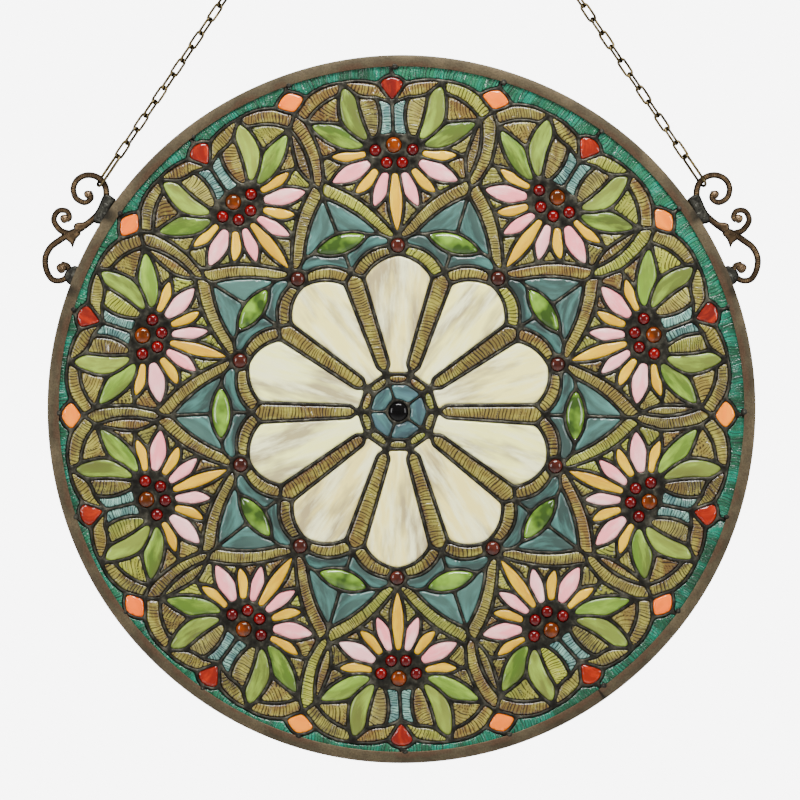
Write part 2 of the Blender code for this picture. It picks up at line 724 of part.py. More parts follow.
def build():
    """All the pieces of the panel."""
    clear_scene()
    lead = material("solder", (0.05, 0.048, 0.042), 0.45, 0.8)
    cream = material("cream_glass", (0.74, 0.70, 0.58), 0.12, 0.0)
    green = material("green_jewel", (0.25, 0.50, 0.08), 0.05, 0.0)
    brown = material("brown_jewel", (0.16, 0.03, 0.02), 0.08, 0.0)
    black = material("black_jewel", (0.008, 0.007, 0.008), 0.06, 0.0)
    bronze = material("aged_rim_metal", (0.16, 0.12, 0.08), 0.5, 0.8)
    brass = material("antique_brass", (0.22, 0.16, 0.08), 0.35, 0.9)
    outlines = leaded_field(lead)
    for name, outline in outlines.items():
        if name.startswith("petal"):
            pane(name, outline, [], cream)
        elif name.startswith("long"):
            pane(name, outline, [(0.6, LONG_JEWEL_RISE)], green)
        else:
            finish = black if name == "centre_jewel" else brown
            pane(name, outline, [(0.6, ROUND_JEWEL_RISE)], finish)
    rim_frame(bronze)
    for word, hand in (("left", 1), ("right", -1)):
        hanger(f"hanger_{word}", hand, bronze)
        chain(f"chain_{word}", hand, brass)
    hanging_ring(brass)


build()
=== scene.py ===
import math

import bpy
import numpy as np
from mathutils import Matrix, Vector, geometry


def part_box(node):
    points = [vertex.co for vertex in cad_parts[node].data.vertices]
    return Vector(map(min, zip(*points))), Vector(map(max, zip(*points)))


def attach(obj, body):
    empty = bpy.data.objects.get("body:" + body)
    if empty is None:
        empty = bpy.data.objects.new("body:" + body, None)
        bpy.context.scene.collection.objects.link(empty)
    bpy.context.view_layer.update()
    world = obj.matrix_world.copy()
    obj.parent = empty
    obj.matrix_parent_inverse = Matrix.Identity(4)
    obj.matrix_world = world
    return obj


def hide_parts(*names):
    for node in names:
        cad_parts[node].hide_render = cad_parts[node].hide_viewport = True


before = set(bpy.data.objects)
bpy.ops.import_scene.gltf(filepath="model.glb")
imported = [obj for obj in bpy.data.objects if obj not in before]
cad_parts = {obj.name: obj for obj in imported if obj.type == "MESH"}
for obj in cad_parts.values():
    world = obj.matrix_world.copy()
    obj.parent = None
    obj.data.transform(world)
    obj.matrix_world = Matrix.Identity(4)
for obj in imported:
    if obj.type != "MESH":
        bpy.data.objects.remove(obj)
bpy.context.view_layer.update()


# The cartoon. The panel was laid out on squared paper, a tenth of the circle at a time, and its
# pieces drifted round a little as they were set by hand. Sizes here are in squares of the paper,
# and each lead line is a row of points with a bend of its own.
rim_low, rim_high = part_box("rim_frame")
PANEL_RADIUS = (rim_high.x - rim_low.x) / 2
PANEL_HEIGHT = (rim_high.z + rim_low.z) / 2
RIM_FACE = 0.0098
RIM_WALL = 0.0014
FIELD_GAP = 0.0012
TENTHS = 10
TURN = 2.0 * math.pi / TENTHS
SQUARES_OUT = 343.0
SQUARE = (PANEL_RADIUS - RIM_FACE) / SQUARES_OUT
MM = 0.001 / SQUARE
FIELD_SHIFT = np.array((-0.0028, -0.0021)) / SQUARE
FIELD_RADIUS = (PANEL_RADIUS - RIM_WALL - FIELD_GAP) / SQUARE
BLUE_OUT, TILE_OUT, ROSETTE_OUT = 29.2, 39.6, 166.5
JEWEL_RADIUS = {"centre_jewel": 8.2 * MM, "rosette_jewel": 6.0 * MM,
                "amber": 6.6 * MM, "red": 4.8 * MM}
LEAD_HALF, FOIL = 1.4 * MM, 0.3 * MM
DRIFT_AT = (60.0, 168.0, 270.0, 325.0)
DRIFTS = ((0.0, -0.5, -4.7, -6.7), (0.0, 2.6, 2.8, -1.3), (0.0, 4.6, 6.0, 2.9),
          (0.0, 3.2, 8.2, 2.0), (0.0, 4.1, 4.7, -1.3), (0.0, 1.1, -0.7, -3.6),
          (0.0, 0.5, -2.9, -3.1), (0.0, -1.9, -6.1, -1.9), (0.0, -0.2, -6.7, -6.5),
          (0.0, -3.8, -10.5, -8.0))


def tenth(x, y, turns):
    """A point x across and y out, so many tenths after the top, with that tenth's drift."""
    out = math.hypot(x, y)
    place = math.atan2(x, y) / TURN + turns
    before = math.floor(place)
    near, far = (np.interp(out, DRIFT_AT, DRIFTS[k % TENTHS]) for k in (before, before + 1))
    angle = turns * TURN + ((near + (far - near) * (place - before)) / out if out else 0.0)
    cosine, sine = math.cos(angle), math.sin(angle)
    return np.array((x * cosine + y * sine, y * cosine - x * sine))


def lead_line(start, end, bulge=0.0, spacing=2.3):
    """A row of points from start to end: straight plus 4 b t (1 - t) to the left."""
    run = end - start
    length = math.hypot(*run)
    left = np.array((-run[1], run[0])) / length
    share = np.linspace(0.0, 1.0, max(1, round(length / spacing)) + 1)[:, None]
    return start + run * share + left * bulge * 4.0 * share * (1.0 - share)


def lead_way(points, *bulges):
    """The lines from each point to the next, with a bulge for each."""
    bulges = bulges or (0.0,) * (len(points) - 1)
    return [lead_line(a, b, bulge) for a, b, bulge in zip(points, points[1:], bulges)]


def seat(jewel):
    """Squares from a round jewel's middle to the middle of the lead about it."""
    return JEWEL_RADIUS[jewel] + FOIL + LEAD_HALF


def side_points(k, side):
    """The points where a half of a tenth meets its neighbour, side 1 clockwise, -1 the other."""
    mirrored = {"spoke": (0, TILE_OUT), "waist": (6.2, 47.5), "shoulder": (9.8, 138),
                "peak": (0, 146.5), "jewel_foot": (0, 166.7), "jewel_top": (0, 187.8),
                "jewel_tip": (28, 177.5), "apex": (0, 227), "stem": (0, 235)}
    knots = {1: {"fork": (-5, 243.5), "link": (-13.3, 264), "crown": (-8.5, 302.5),
                 "diamond": (-15.8, 326.8)},
             -1: {"fork": (6.5, 243.5), "link": (12, 264), "crown": (9, 303),
                  "diamond": (16, 326.8)}}
    points = {name: tenth(-side * x, y, k + side / 2) for name, (x, y) in mirrored.items()}
    points.update({name: tenth(x, y, k + side / 2) for name, (x, y) in knots[side].items()})
    points["foot"] = tenth(0.9, 315.3, k + side / 2)
    points["top"] = tenth(0.3, 338.9, k + side / 2)
    return points


def half_points(k, side):
    """The points inside a half of a tenth, which mirrors about the middle line."""
    reach = seat("rosette_jewel")
    slant = reach * math.sqrt(0.5)
    points = {"petal_top": (0, ROSETTE_OUT - reach), "low": (slant, ROSETTE_OUT - slant),
              "right": (reach, ROSETTE_OUT), "high": (slant, ROSETTE_OUT + slant),
              "rosette_top": (0, ROSETTE_OUT + reach), "wing": (17.5, 178.3),
              "tip2": (22.8, 202.2), "tip3": (41, 217.5), "tip4": (63.5, 229.5),
              "tip5": (64, 256.5), "fork1": (7.5, 217), "fork2": (21, 226.5),
              "fork3": (32.5, 233.5), "fork4": (46, 249), "fork5": (47, 262.5),
              "split": (50.3, 289), "base1": (4, 240.5), "base2": (13, 241.5),
              "base3": (20.5, 246.5), "base4": (25, 254.5), "base5": (26.5, 263.5),
              "base6": (26, 268.8), "base7": (21.5, 272.8), "base8": (15.5, 275.8),
              "base9": (0, 277.5), "fan_foot": (0, 309), "fan_side": (13.5, 328.3),
              "fan_top": (0, 336.5), "blue_top": (16.5, 315), "leaf_notch": (35, 317.7),
              "leaf_tip": (50, 330), "band_end": (52.5, 317.5)}
    return {name: tenth(side * x, y, k) for name, (x, y) in points.items()}


def half_lines(k, side):
    """All the lead lines of one half of a tenth."""
    points = side_points(k, side) | half_points(k, side)

    def way(names, *bulges):
        return lead_way([points[name] for name in names.split()],
                        *(side * bulge for bulge in bulges))

    return (way("spoke waist shoulder peak", -0.4, 0, 0)
            + way("shoulder petal_top", -5)
            + way("petal_top low right high rosette_top", -0.7, -0.7, -0.7, -0.7)
            + way("right peak", 7)
            + way("high wing jewel_tip")
            + way("jewel_tip jewel_top", 2.6)
            + way("jewel_tip jewel_foot", -2.6)
            + way("wing apex", 4)
            + way("rosette_top tip2 tip3 tip4 fork stem", 0.8, 0.6, 0.6, 0, 0)
            + way("base1 fork1 rosette_top", 0, 2.4)
            + way("fork1 tip2", -1.2)
            + way("base2 fork2 tip2", 0, 1.6)
            + way("fork2 tip3", -2.8)
            + way("base3 fork3 tip3", 0, 1.4)
            + way("fork3 tip4", -3)
            + way("base4 fork4 tip4", 0, 1.8)
            + way("fork4 tip5", -1.2)
            + way("base5 fork5 tip5 link", -1, 1.2, 0)
            + way("fork5 crown", -4)
            + way("base6 split crown", -1.8, 0.8)
            + way("base7 leaf_notch leaf_tip", -2.2, 0)
            + way("split band_end leaf_tip", -1.6, 0)
            + way("base8 blue_top", 4.2)
            + way("fan_foot blue_top leaf_notch", 0, -1.4)
            + way("band_end crown", 4.2)
            + way("fan_side leaf_tip diamond", 2.5, 3.5)
            + way("diamond foot", -0.6)
            + way("diamond top", 2)
            + way("fan_foot fan_side fan_top", -0.3, -2.3)
            + way("base1 base2 base3 base4 base5 base6 base7 base8 base9"))


def knot_lines(k):
    """The interlaced band and crescent that stand between one tenth and the next."""
    left, right = side_points(k, 1), side_points(k + 1, -1)
    return (lead_way([left["fork"], left["link"], left["crown"]], 1.3, 1.0)
            + lead_way([left["fork"], left["crown"], left["foot"]], -5.5, 0)
            + lead_way([right["fork"], right["link"], right["crown"], left["foot"]], 0, -1.2, 0))


def edge_point(angle):
    """The point of the field's round edge at an angle seen from the cartoon's middle."""
    out = np.array((math.cos(angle), math.sin(angle)))
    along = float(out @ FIELD_SHIFT)
    return out * (math.sqrt(along ** 2 - FIELD_SHIFT @ FIELD_SHIFT + FIELD_RADIUS ** 2) - along)


def middle_lines(k):
    """Round the centre the ring of tiles, and the joints that run straight out."""
    jewel, blue, tile = [[tenth(0, out, k + half) for half in (-0.5, 0.5)]
                         for out in (seat("centre_jewel"), BLUE_OUT, TILE_OUT)]
    side, half, mirror = side_points(k, 1), half_points(k, 1), half_points(k, -1)
    lines = [lead_line(*jewel, 0.6), lead_line(*blue), lead_line(*tile),
             lead_line(blue[1], tile[1])]
    if k % 2:
        lines.append(lead_line(jewel[1], blue[1]))
    for point in (half["fan_top"], side["top"]):
        lines.append(lead_line(point, edge_point(math.atan2(point[1], point[0]))))
    return (lines + lead_way([side["peak"], side["jewel_foot"]])
            + lead_way([side["jewel_top"], side["apex"], side["stem"]])
            + lead_way([mirror["base1"], half["base1"]])
            + lead_way([half["base9"], half["fan_foot"]]))


def edge_lines():
    """The field's round edge, with a point at each joint that runs out to it."""
    tops = [half_points(k, 1)["fan_top"] for k in range(TENTHS)]
    tops += [side_points(k, 1)["top"] for k in range(TENTHS)]
    angles = sorted(math.atan2(y, x) for x, y in tops)
    pairs = zip(angles, angles[1:] + [angles[0] + 2.0 * math.pi])
    return [np.array([edge_point(a) for a in np.linspace(*pair, 33)]) for pair in pairs]


def area(ring):
    """The area inside a ring of points, positive when it runs anticlockwise."""
    following = np.roll(ring, -1, axis=0)
    return 0.5 * float((ring[:, 0] * following[:, 1] - following[:, 0] * ring[:, 1]).sum())


def balance(ring):
    """The point on which a ring's area would balance."""
    following = np.roll(ring, -1, axis=0)
    cross = ring[:, 0] * following[:, 1] - following[:, 0] * ring[:, 1]
    return ((ring + following) * cross[:, None]).sum(axis=0) / cross.sum() / 3.0


def net(lines):
    """The cells of the net of lead lines, as anticlockwise rings of points."""
    rows = np.round(np.vstack(lines), 3) + 0.0
    _, first, number = np.unique(rows, axis=0, return_index=True, return_inverse=True)
    order = np.argsort(first)
    number = np.argsort(order)[number.ravel()]
    ends = np.cumsum([len(line) for line in lines])[:-1] - 1
    pairs = np.delete(np.stack((number[:-1], number[1:]), axis=1), ends, axis=0)
    edges = np.unique(np.sort(pairs, axis=1), axis=0)
    corners = [Vector(point) for point in rows[first[order]]]
    edges = [tuple(pair) for pair in edges.tolist()]
    found = geometry.delaunay_2d_cdt(corners, edges, [], 3, 1e-4)
    points = np.array([tuple(v) for v in found[0]])
    rings = [points[list(cell)] for cell in found[2]]
    return [ring if area(ring) > 0 else ring[::-1] for ring in rings]


# Where the middle of each kind of piece stands in its tenth, across and out: first on its middle
# line, then on both sides of it, then between two tenths
MIDDLES = {"tile": (0, 34.4), "petal": (0, 105), "rosette_jewel": (0, ROSETTE_OUT),
           "ground": (0, 259), "yellow_mid": (0, 212), "fan": (0, 323)}
SIDE_MIDDLES = {"scallop": (25.5, 151), "teal_low": (32.5, 163), "teal_high": (50, 192),
                "v_band": (41, 204), "pink_in": (13.5, 224), "yellow_in": (26, 232.5),
                "pink_out": (40, 241.5), "yellow_out": (42.5, 256.5), "gusset_1": (11, 199),
                "gusset_2": (28.5, 215), "gusset_3": (47, 226), "gusset_4": (62, 244.5),
                "gusset_5": (66, 265), "leaf_low": (55, 277.5), "leaf_high": (41, 297),
                "crescent": (24.5, 296), "blue_crescent": (7.5, 294), "corner": (60, 301),
                "top_crescent": (26, 322.5), "outer_band": (69.5, 312), "border": (54, 337)}
HALF_MIDDLES = {"spoke": (0, 103), "long_jewel": (0, 177.2), "knot_crescent": (-9, 272),
                "knot_band": (2, 277), "diamond": (0, 327)}
BLUE_MIDDLE = (0, 21.5)


def named_cells():
    """Every cell of the net with its kind and tenth: the nearest of the known middles."""
    known = [("centre_jewel", 0, np.zeros(2))]
    for k in range(TENTHS):
        known += [(kind, k, tenth(x, y, k)) for kind, (x, y) in MIDDLES.items()]
        known += [(kind, k, tenth(x, y, k + 0.5)) for kind, (x, y) in HALF_MIDDLES.items()]
        known += [(kind, k, tenth(side * x, y, k))
                  for kind, (x, y) in SIDE_MIDDLES.items() for side in (1, -1)]
        if k % 2 == 0:
            known.append(("blue", k, tenth(*BLUE_MIDDLE, k + 0.5)))
    places = np.array([place for *_, place in known])
    lines = edge_lines()
    for k in range(TENTHS):
        lines += half_lines(k, 1) + half_lines(k, -1) + knot_lines(k) + middle_lines(k)
    cells = []
    for ring in net(lines):
        nearest = int(np.argmin(((places - balance(ring)) ** 2).sum(axis=1)))
        cells.append((*known[nearest][:2], ring))
    return cells


CELLS = named_cells()


# The lead and solder. Every piece of glass is wrapped in copper foil and the joints are run with
# solder from both faces, so each line is a rounded bead, higher and lumpy where lines meet.
# The bead rises from the glass on either side to the middle of the line.
GLASS_HALF, BEAD_RISE = 1.5 * MM, 1.15 * MM


def spaced(ring, spacing):
    """A closed ring's points set evenly along it."""
    closed = np.vstack((ring, ring[:1]))
    along = np.concatenate(([0.0], np.cumsum(np.linalg.norm(np.diff(closed, axis=0), axis=1))))
    places = np.linspace(0.0, along[-1], max(6, round(along[-1] / spacing)) + 1)[:-1]
    return np.stack([np.interp(places, along, closed[:, i]) for i in (0, 1)], axis=1)


def clearance(points, ring):
    """How far each point stands from the nearest side of a ring."""
    start, run = ring, np.roll(ring, -1, axis=0) - ring
    away = points[:, None] - start
    share = np.clip((away * run).sum(2) / (run ** 2).sum(1), 0.0, 1.0)
    return np.sqrt(((away - share[..., None] * run) ** 2).sum(2).min(axis=1))


def within(points, ring):
    """Which points lie in a ring, by counting the sides that each has to its right."""
    following = np.roll(ring, -1, axis=0)
    x, y = points[:, :1], points[:, 1:]
    rise = following[:, 1] - ring[:, 1]
    spans = (ring[:, 1] > y) != (following[:, 1] > y)
    slope = (following[:, 0] - ring[:, 0]) / np.where(rise, rise, 1.0)
    return (spans & (ring[:, 0] + (y - ring[:, 1]) * slope > x)).sum(axis=1) % 2 == 1


def inward(ring):
    """The unit way in at each point of an anticlockwise ring, square to its neighbours' chord."""
    run = np.roll(ring, -1, axis=0) - np.roll(ring, 1, axis=0)
    return np.stack((-run[:, 1], run[:, 0]), axis=1) / np.linalg.norm(run, axis=1)[:, None]


def worn(ring, rounds=2):
    """A ring with its corners rounded: each point moves half way to its neighbours' middle."""
    for _ in range(rounds):
        ring = ring / 2 + (np.roll(ring, 1, axis=0) + np.roll(ring, -1, axis=0)) / 4
    return ring


def set_in(ring, by, spacing=1.9):
    """A ring moved in: its sides shift square to themselves, and what then stands too near
    another side is dropped, which rounds off the tips."""
    fine = spaced(ring, 0.9)
    following = np.roll(fine, -1, axis=0)
    run = following - fine
    way = np.stack((-run[:, 1], run[:, 0]), axis=1) / np.linalg.norm(run, axis=1)[:, None]
    moved = np.stack((fine + way * by, following + way * by), axis=1).reshape(-1, 2)
    kept = moved[(clearance(moved, ring) > by * 0.985) & within(moved, ring)]
    return worn(spaced(kept, spacing)) if len(kept) > 6 else None


def circle(middle, radius, count):
    """Points round a circle, anticlockwise."""
    angle = np.arange(count) * 2.0 * math.pi / count
    return middle + radius * np.stack((np.cos(angle), np.sin(angle)), axis=1)


def fill(outer, holes, free):
    """Triangles that fill a ring, leave its holes open and use the free points inside it."""
    rings = [outer, *holes]
    points = np.vstack((*rings, free))
    edges, first = [], 0
    for ring in rings:
        row = range(first, first + len(ring))
        edges += [(i, i + 1 if i + 1 in row else first) for i in row]
        first += len(ring)
    found = geometry.delaunay_2d_cdt([Vector(p) for p in points], edges, [], 1, 1e-7)
    points = np.array([tuple(v) for v in found[0]])
    faces = np.array(found[2])
    middles = points[faces].mean(axis=1)
    for hole in holes:
        faces, middles = (kept[~within(middles, hole)] for kept in (faces, middles))
    return points, faces


def squared(ring, spacing):
    """Points in rows and columns over all that a ring spans."""
    spans = [np.arange(low, high, spacing) for low, high in zip(ring.min(0), ring.max(0))]
    return np.stack([way.ravel() for way in np.meshgrid(*spans)], axis=1)


def uneven(points, size):
    """Smooth unevenness from about -1 to 1: five slanted waves, each about a size long."""
    total = 0.0
    for i in range(5):
        angle, wave = 2.4 * i + 0.3, 2.0 * math.pi / size / (0.75 + 0.16 * i)
        way = np.array((math.cos(angle), math.sin(angle)))
        total = total + np.sin(points @ way * wave + 1.7 * i)
    return total * 0.36


def new_mesh(name, points, faces, finish, smooth=True):
    """A mesh object from arrays of points and of faces that all have as many corners."""
    faces = np.asarray(faces)
    mesh = bpy.data.meshes.new(name)
    mesh.vertices.add(len(points))
    mesh.vertices.foreach_set("co", np.asarray(points, np.float32).ravel())
    mesh.loops.add(faces.size)
    mesh.loops.foreach_set("vertex_index", faces.ravel().astype(np.int32))
    mesh.polygons.add(len(faces))
    starts = np.arange(0, faces.size, faces.shape[1], dtype=np.int32)
    mesh.polygons.foreach_set("loop_start", starts)
    mesh.polygons.foreach_set("use_smooth", np.full(len(faces), smooth))
    mesh.update(calc_edges=True)
    mesh.validate()
    mesh.materials.append(finish)
    made = bpy.data.objects.new(name, mesh)
    bpy.context.scene.collection.objects.link(made)
    return made


def keep_mark(made, name, values):
    """Keeps a number or a vector on each of a mesh's points, for its material."""
    values = np.asarray(values, np.float32)
    kind, place = ("FLOAT_VECTOR", "vector") if values.shape[1:] == (3,) else ("FLOAT", "value")
    layer = made.data.attributes.new(name, kind, "POINT")
    layer.data.foreach_set(place, values.ravel())


def fitted(made, node):
    """Lets a piece ride on the panel in the place of its CAD node, which is hidden."""
    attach(made, "root")
    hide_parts(node)


class Heap:
    """Like pieces gathered for one mesh: points in metres, triangles, and marks on the points."""

    def __init__(self):
        self.points, self.faces, self.marks, self.count = [], [], {}, 0

    def add(self, flat, depth, faces, facing=1, **marks):
        """Adds points of the paper at a depth behind the panel's middle, in squares."""
        x, z = (flat + FIELD_SHIFT).T * SQUARE
        self.points.append(np.stack((x, np.broadcast_to(depth * SQUARE, x.shape),
                                     z + PANEL_HEIGHT), axis=1))
        self.faces.append(np.asarray(faces)[:, ::facing] + self.count)
        self.count += len(flat)
        for name, value in marks.items():
            value = np.asarray(value, float)
            value = value[:, None] if value.shape == (len(flat),) else value
            value = np.broadcast_to(value, (len(flat), value.shape[-1] if value.ndim else 1))
            self.marks.setdefault(name, []).append(value)

    def make(self, name, finish, node):
        """The mesh object, riding on the root in place of the node it stands for."""
        made = new_mesh(name, np.vstack(self.points), np.vstack(self.faces), finish)
        for mark, values in self.marks.items():
            keep_mark(made, mark, np.vstack(values))
        fitted(made, node)


# The picture is shown through a film-like curve, so a colour read off a screen is taken back
# through it: wide primaries, the curve's end colours, then sixteen and a half stops of light.
WIDE = np.array(((0.6274, 0.3293, 0.0433), (0.0691, 0.9195, 0.0113), (0.0164, 0.0880, 0.8956)))
ENTRY = np.array(((0.8566, 0.0951, 0.0483), (0.1373, 0.7612, 0.1014), (0.1119, 0.0768, 0.8113)))
EXIT = np.array(((1.1271, -0.1106, -0.0165), (-0.1413, 1.1578, -0.0165),
                 (-0.1413, -0.1106, 1.2519)))
CURVE = (15.5, -40.14, 31.96, -6.868, 0.4298, 0.1191, -0.00232)
STOPS, FIRST_STOP, STUDIO_LIGHT = 16.5, -12.474, 2.25


def colour(red, green, blue):
    """The base colour that the studio's light brings back to a colour read off a screen."""
    share = np.array((red, green, blue)) / 255.0
    light = np.where(share < 0.04045, share / 12.92, ((share + 0.055) / 1.055) ** 2.4)
    shown = np.linalg.inv(EXIT) @ np.maximum(WIDE @ light, 0.0) ** (1 / 2.2)
    stop = np.linspace(0.0, 1.0, 400)
    met = 2.0 ** (np.interp(shown, np.polyval(CURVE, stop), stop) * STOPS + FIRST_STOP)
    base = np.linalg.inv(WIDE) @ np.linalg.inv(ENTRY) @ met / STUDIO_LIGHT
    return tuple(float(v) for v in np.clip(base, 0.001, 0.92))


class Finish:
    """A material built up node by node; each call gives the new node's output."""

    def __init__(self, name, **values):
        self.material = bpy.data.materials.new(name)
        self.material.use_nodes = True
        self.nodes = self.material.node_tree.nodes
        self.shader = self.nodes["Principled BSDF"]
        self.set(self.shader, values)

    def set(self, node, values):
        """Joins or sets a node's inputs, named with underscores for spaces."""
        for name, value in values.items():
            socket = node.inputs[name.replace("_", " ") if isinstance(name, str) else name]
            if isinstance(value, bpy.types.NodeSocket):
                self.material.node_tree.links.new(value, socket)
            else:
                socket.default_value = (*value, 1.0) if socket.type == "RGBA" else value

    def node(self, kind, output=0, settings=(), **values):
        """A node of a kind, with its settings and inputs, and the output asked for."""
        made = self.nodes.new("ShaderNode" + kind)
        for name, value in dict(settings).items():
            setattr(made, name, value)
        self.set(made, values)
        return made.outputs[output]

    def place(self):
        """Object coordinates."""
        return self.node("TexCoord", "Object")

    def mark(self, name, output="Fac"):
        """A mark kept on the mesh's points."""
        return self.node("Attribute", output, {"attribute_name": name})

    def noise(self, vector, scale, detail=3.0, roughness=0.55):
        """Cloudy noise from 0 to 1."""
        return self.node("TexNoise", "Fac", Vector=vector, Scale=scale, Detail=detail,
                         Roughness=roughness)

    def ramp(self, share, *stops):
        """Colours or greys at places from 0 to 1."""
        made = self.nodes.new("ShaderNodeValToRGB")
        elements = made.color_ramp.elements
        while len(elements) < len(stops):
            elements.new(0.5)
        for element, (place, value) in zip(elements, stops):
            element.position = place
            element.color = (*value, 1.0) if np.ndim(value) else (value, value, value, 1.0)
        self.set(made, {"Fac": share})
        return made.outputs["Color"]

    def sum(self, way, *values):
        """Arithmetic on one to three values."""
        made = self.nodes.new("ShaderNodeMath")
        made.operation = way
        self.set(made, dict(enumerate(values)))
        return made.outputs[0]

    def blend(self, share, first, second):
        """Two colours mixed by a share."""
        made = self.nodes.new("ShaderNodeMix")
        made.data_type = "RGBA"
        self.set(made, {0: share, 6: first, 7: second})
        return made.outputs[2]

    def relief(self, height, distance, strength):
        """Bumps from a height, on the shader's normal."""
        bump = self.node("Bump", Height=height, Distance=distance, Strength=strength)
        self.set(self.shader, {"Normal": bump})


def lead_half(kind, ring):
    """Half the lead's width about a cell: less where the cell is narrow, or in the middle."""
    across = 2.0 * area(ring) / np.linalg.norm(ring - np.roll(ring, 1, axis=0), axis=1).sum()
    widest = {"blue": 1.0 * MM, "tile": 1.15 * MM}.get(kind, LEAD_HALF)
    return min(widest, 0.42 * across)


BERRIES = (("amber", 0, 267), ("red", 18, 262), ("red", -18, 262), ("red", 7.5, 249.5),
           ("red", -7.5, 249.5))


def glass_rings(kind, k, ring, half):
    """The outlines of what a cell holds: round jewels, or one piece set in from its lead."""
    if kind == "ground":
        return [circle(tenth(x, y, k), JEWEL_RADIUS[name], 18) for name, x, y in BERRIES]
    if kind in ("centre_jewel", "rosette_jewel"):
        return [circle(balance(ring), JEWEL_RADIUS[kind], 28)]
    outline = set_in(ring, half)
    if outline is not None and kind in ("leaf_low", "leaf_high", "tile"):
        outline = worn(outline, 9)
    return [] if outline is None else [outline]


def solder(heap, ring, holes, half, facing, rows=(0.22, 0.6)):
    """The bead between a cell's middle lines and its glass: sqrt(1 - (1 - d / half)^2) high at
    a distance d from the glass, and uneven from place to place."""
    free = np.vstack([hole - inward(hole) * half * share for hole in holes for share in rows]
                     or [np.zeros((0, 2))])
    if len(holes) > 1:
        free = np.vstack((free, squared(ring, 1.7)))
    free = free[within(free, ring)]
    free = free[clearance(free, ring) > 0.3 * half]
    for hole in holes:
        free = free[(clearance(free, hole) > 0.15 * half) & ~within(free, hole)]
    points, faces = fill(ring, holes, free)
    away = [clearance(points, hole) for hole in holes] or [np.full(len(points), 9.0)]
    away = np.min(away, axis=0)
    rise = np.sqrt(1.0 - (1.0 - np.clip(away / half, 0.0, 1.0)) ** 2)
    lumps = 0.86 + 0.16 * uneven(points + 40.0 * facing, 11.0) + 0.10 * uneven(points, 4.3)
    # crown is the bead's rise: the solder's finish paints shade, nearly black, where it falls to
    # the glass.
    heap.add(points, -facing * (GLASS_HALF + BEAD_RISE * rise * lumps), faces, facing, crown=rise)


def solder_finish(name, *tones):
    """Solder: three greys in clouds, and painted shade, nearly black, where the bead falls to the
    glass.
    """
    finish = Finish(name, Metallic=0.8, Specular_Tint=(0.3, 0.3, 0.3))
    where = finish.place()
    clouds, spots = finish.noise(where, 150.0, 4.0), finish.noise(where, 900.0, 3.0, 0.7)
    tinned = finish.ramp(clouds, *zip((0.34, 0.52, 0.7), (colour(*tone) for tone in tones)))
    # Painted shade: where the crown mark is low (a bead's foot, a blob's sides, a weld's edge) the
    # colour goes nearly black.
    low = finish.ramp(finish.mark("crown"), (0.35, 1.0), (0.95, 0.0))
    finish.set(finish.shader, {"Base Color": finish.blend(low, tinned, colour(24, 21, 16)),
                               "Roughness": finish.sum("MULTIPLY_ADD", spots, 0.4, 0.18)})
    finish.relief(finish.sum("MULTIPLY_ADD", spots, 0.5, clouds), 0.0007, 0.7)
    return finish


patina_and_shade = solder_finish("dark_solder", (52, 49, 43), (82, 79, 70), (128, 124, 112))
GLASS = []
lead_heaps = [Heap() for _ in range(TENTHS)]
for kind, k, ring in CELLS:
    half = lead_half(kind, ring)
    holes = glass_rings(kind, k, ring, half)
    GLASS += [(kind, k, hole) for hole in holes]
    solder(lead_heaps[k], ring, holes, half, 1)
    solder(lead_heaps[k], ring, holes, half, -1, (0.4,))
for k, heap in enumerate(lead_heaps):
    heap.make(f"lead_net_{k + 1:02d}", patina_and_shade.material, "leaded_field")


# The ripple glass: olive to brown, used for the spokes, the bands and the small fillers. It was
# rolled while soft, so its face is close ribs with narrow grooves between, darkened by painted
# shade, and here they run from rail to rail, square to each piece's length. Piece and grooves are
# one surface.
LEAD_LAP, EDGE_TUCK, EDGE_FALL = 0.15 * MM, 0.35 * MM, 1.3 * MM
RIB_RISE, RIB_START, RIB_BEND, RIB_SWAY = 0.45 * MM, 0.8 * MM, 0.25, 0.4
WAVE_STEP, WAVE_LENGTH, LINE_STEP, LINE_POINTS = 3.4, 16.0, 1.7 * MM, 90


def length_frame(ring):
    """A piece's middle, long and short ways, and the bend of its length, t = a + b s + c s^2."""
    even = spaced(ring, 1.5)
    middle = even.mean(axis=0)
    _, ways = np.linalg.eigh(np.cov((even - middle).T))
    long_way = ways[:, 1] * (1.0 if ways[1, 1] >= 0 else -1.0)
    short_way = np.array((-long_way[1], long_way[0]))
    s, t = (even - middle) @ long_way, (even - middle) @ short_way
    bend = np.polyfit(s, t, 2)[::-1] if len(s) > 8 else np.zeros(3)
    return middle, long_way, short_way, bend, (s.min(), s.max()), (t.min(), t.max())


def turned_frame(ring, slant):
    """The same frame turned by an angle and left straight."""
    middle, long_way, short_way, *_ = length_frame(ring)
    cosine, sine = math.cos(slant), math.sin(slant)
    long_way, short_way = (long_way * cosine + short_way * sine,
                           short_way * cosine - long_way * sine)
    s, t = (ring - middle) @ long_way, (ring - middle) @ short_way
    return middle, long_way, short_way, np.zeros(3), (s.min(), s.max()), (t.min(), t.max())


def along_piece(frame_of, s, t):
    """The points s along the bent middle line and t square to it."""
    middle, long_way, short_way, (a, b, c), *_ = frame_of
    slope = b + 2.0 * c * s
    stretch = np.sqrt(1.0 + slope ** 2)
    x, y = s - t * slope / stretch, a + b * s + c * s ** 2 + t / stretch
    return middle + x[..., None] * long_way + y[..., None] * short_way


def grain_of(frame_of, points, seed):
    """Each point's way along its piece and across it, in centimetres, and the piece's number."""
    middle, long_way, short_way, (a, b, c), *_ = frame_of
    x, y = (points - middle) @ long_way, (points - middle) @ short_way
    across = y - (a + b * x + c * x ** 2)
    along = x + (b + 2.0 * c * x) * across
    return np.stack((along / MM / 10, across / MM / 10, np.full(len(points), seed)), axis=1)


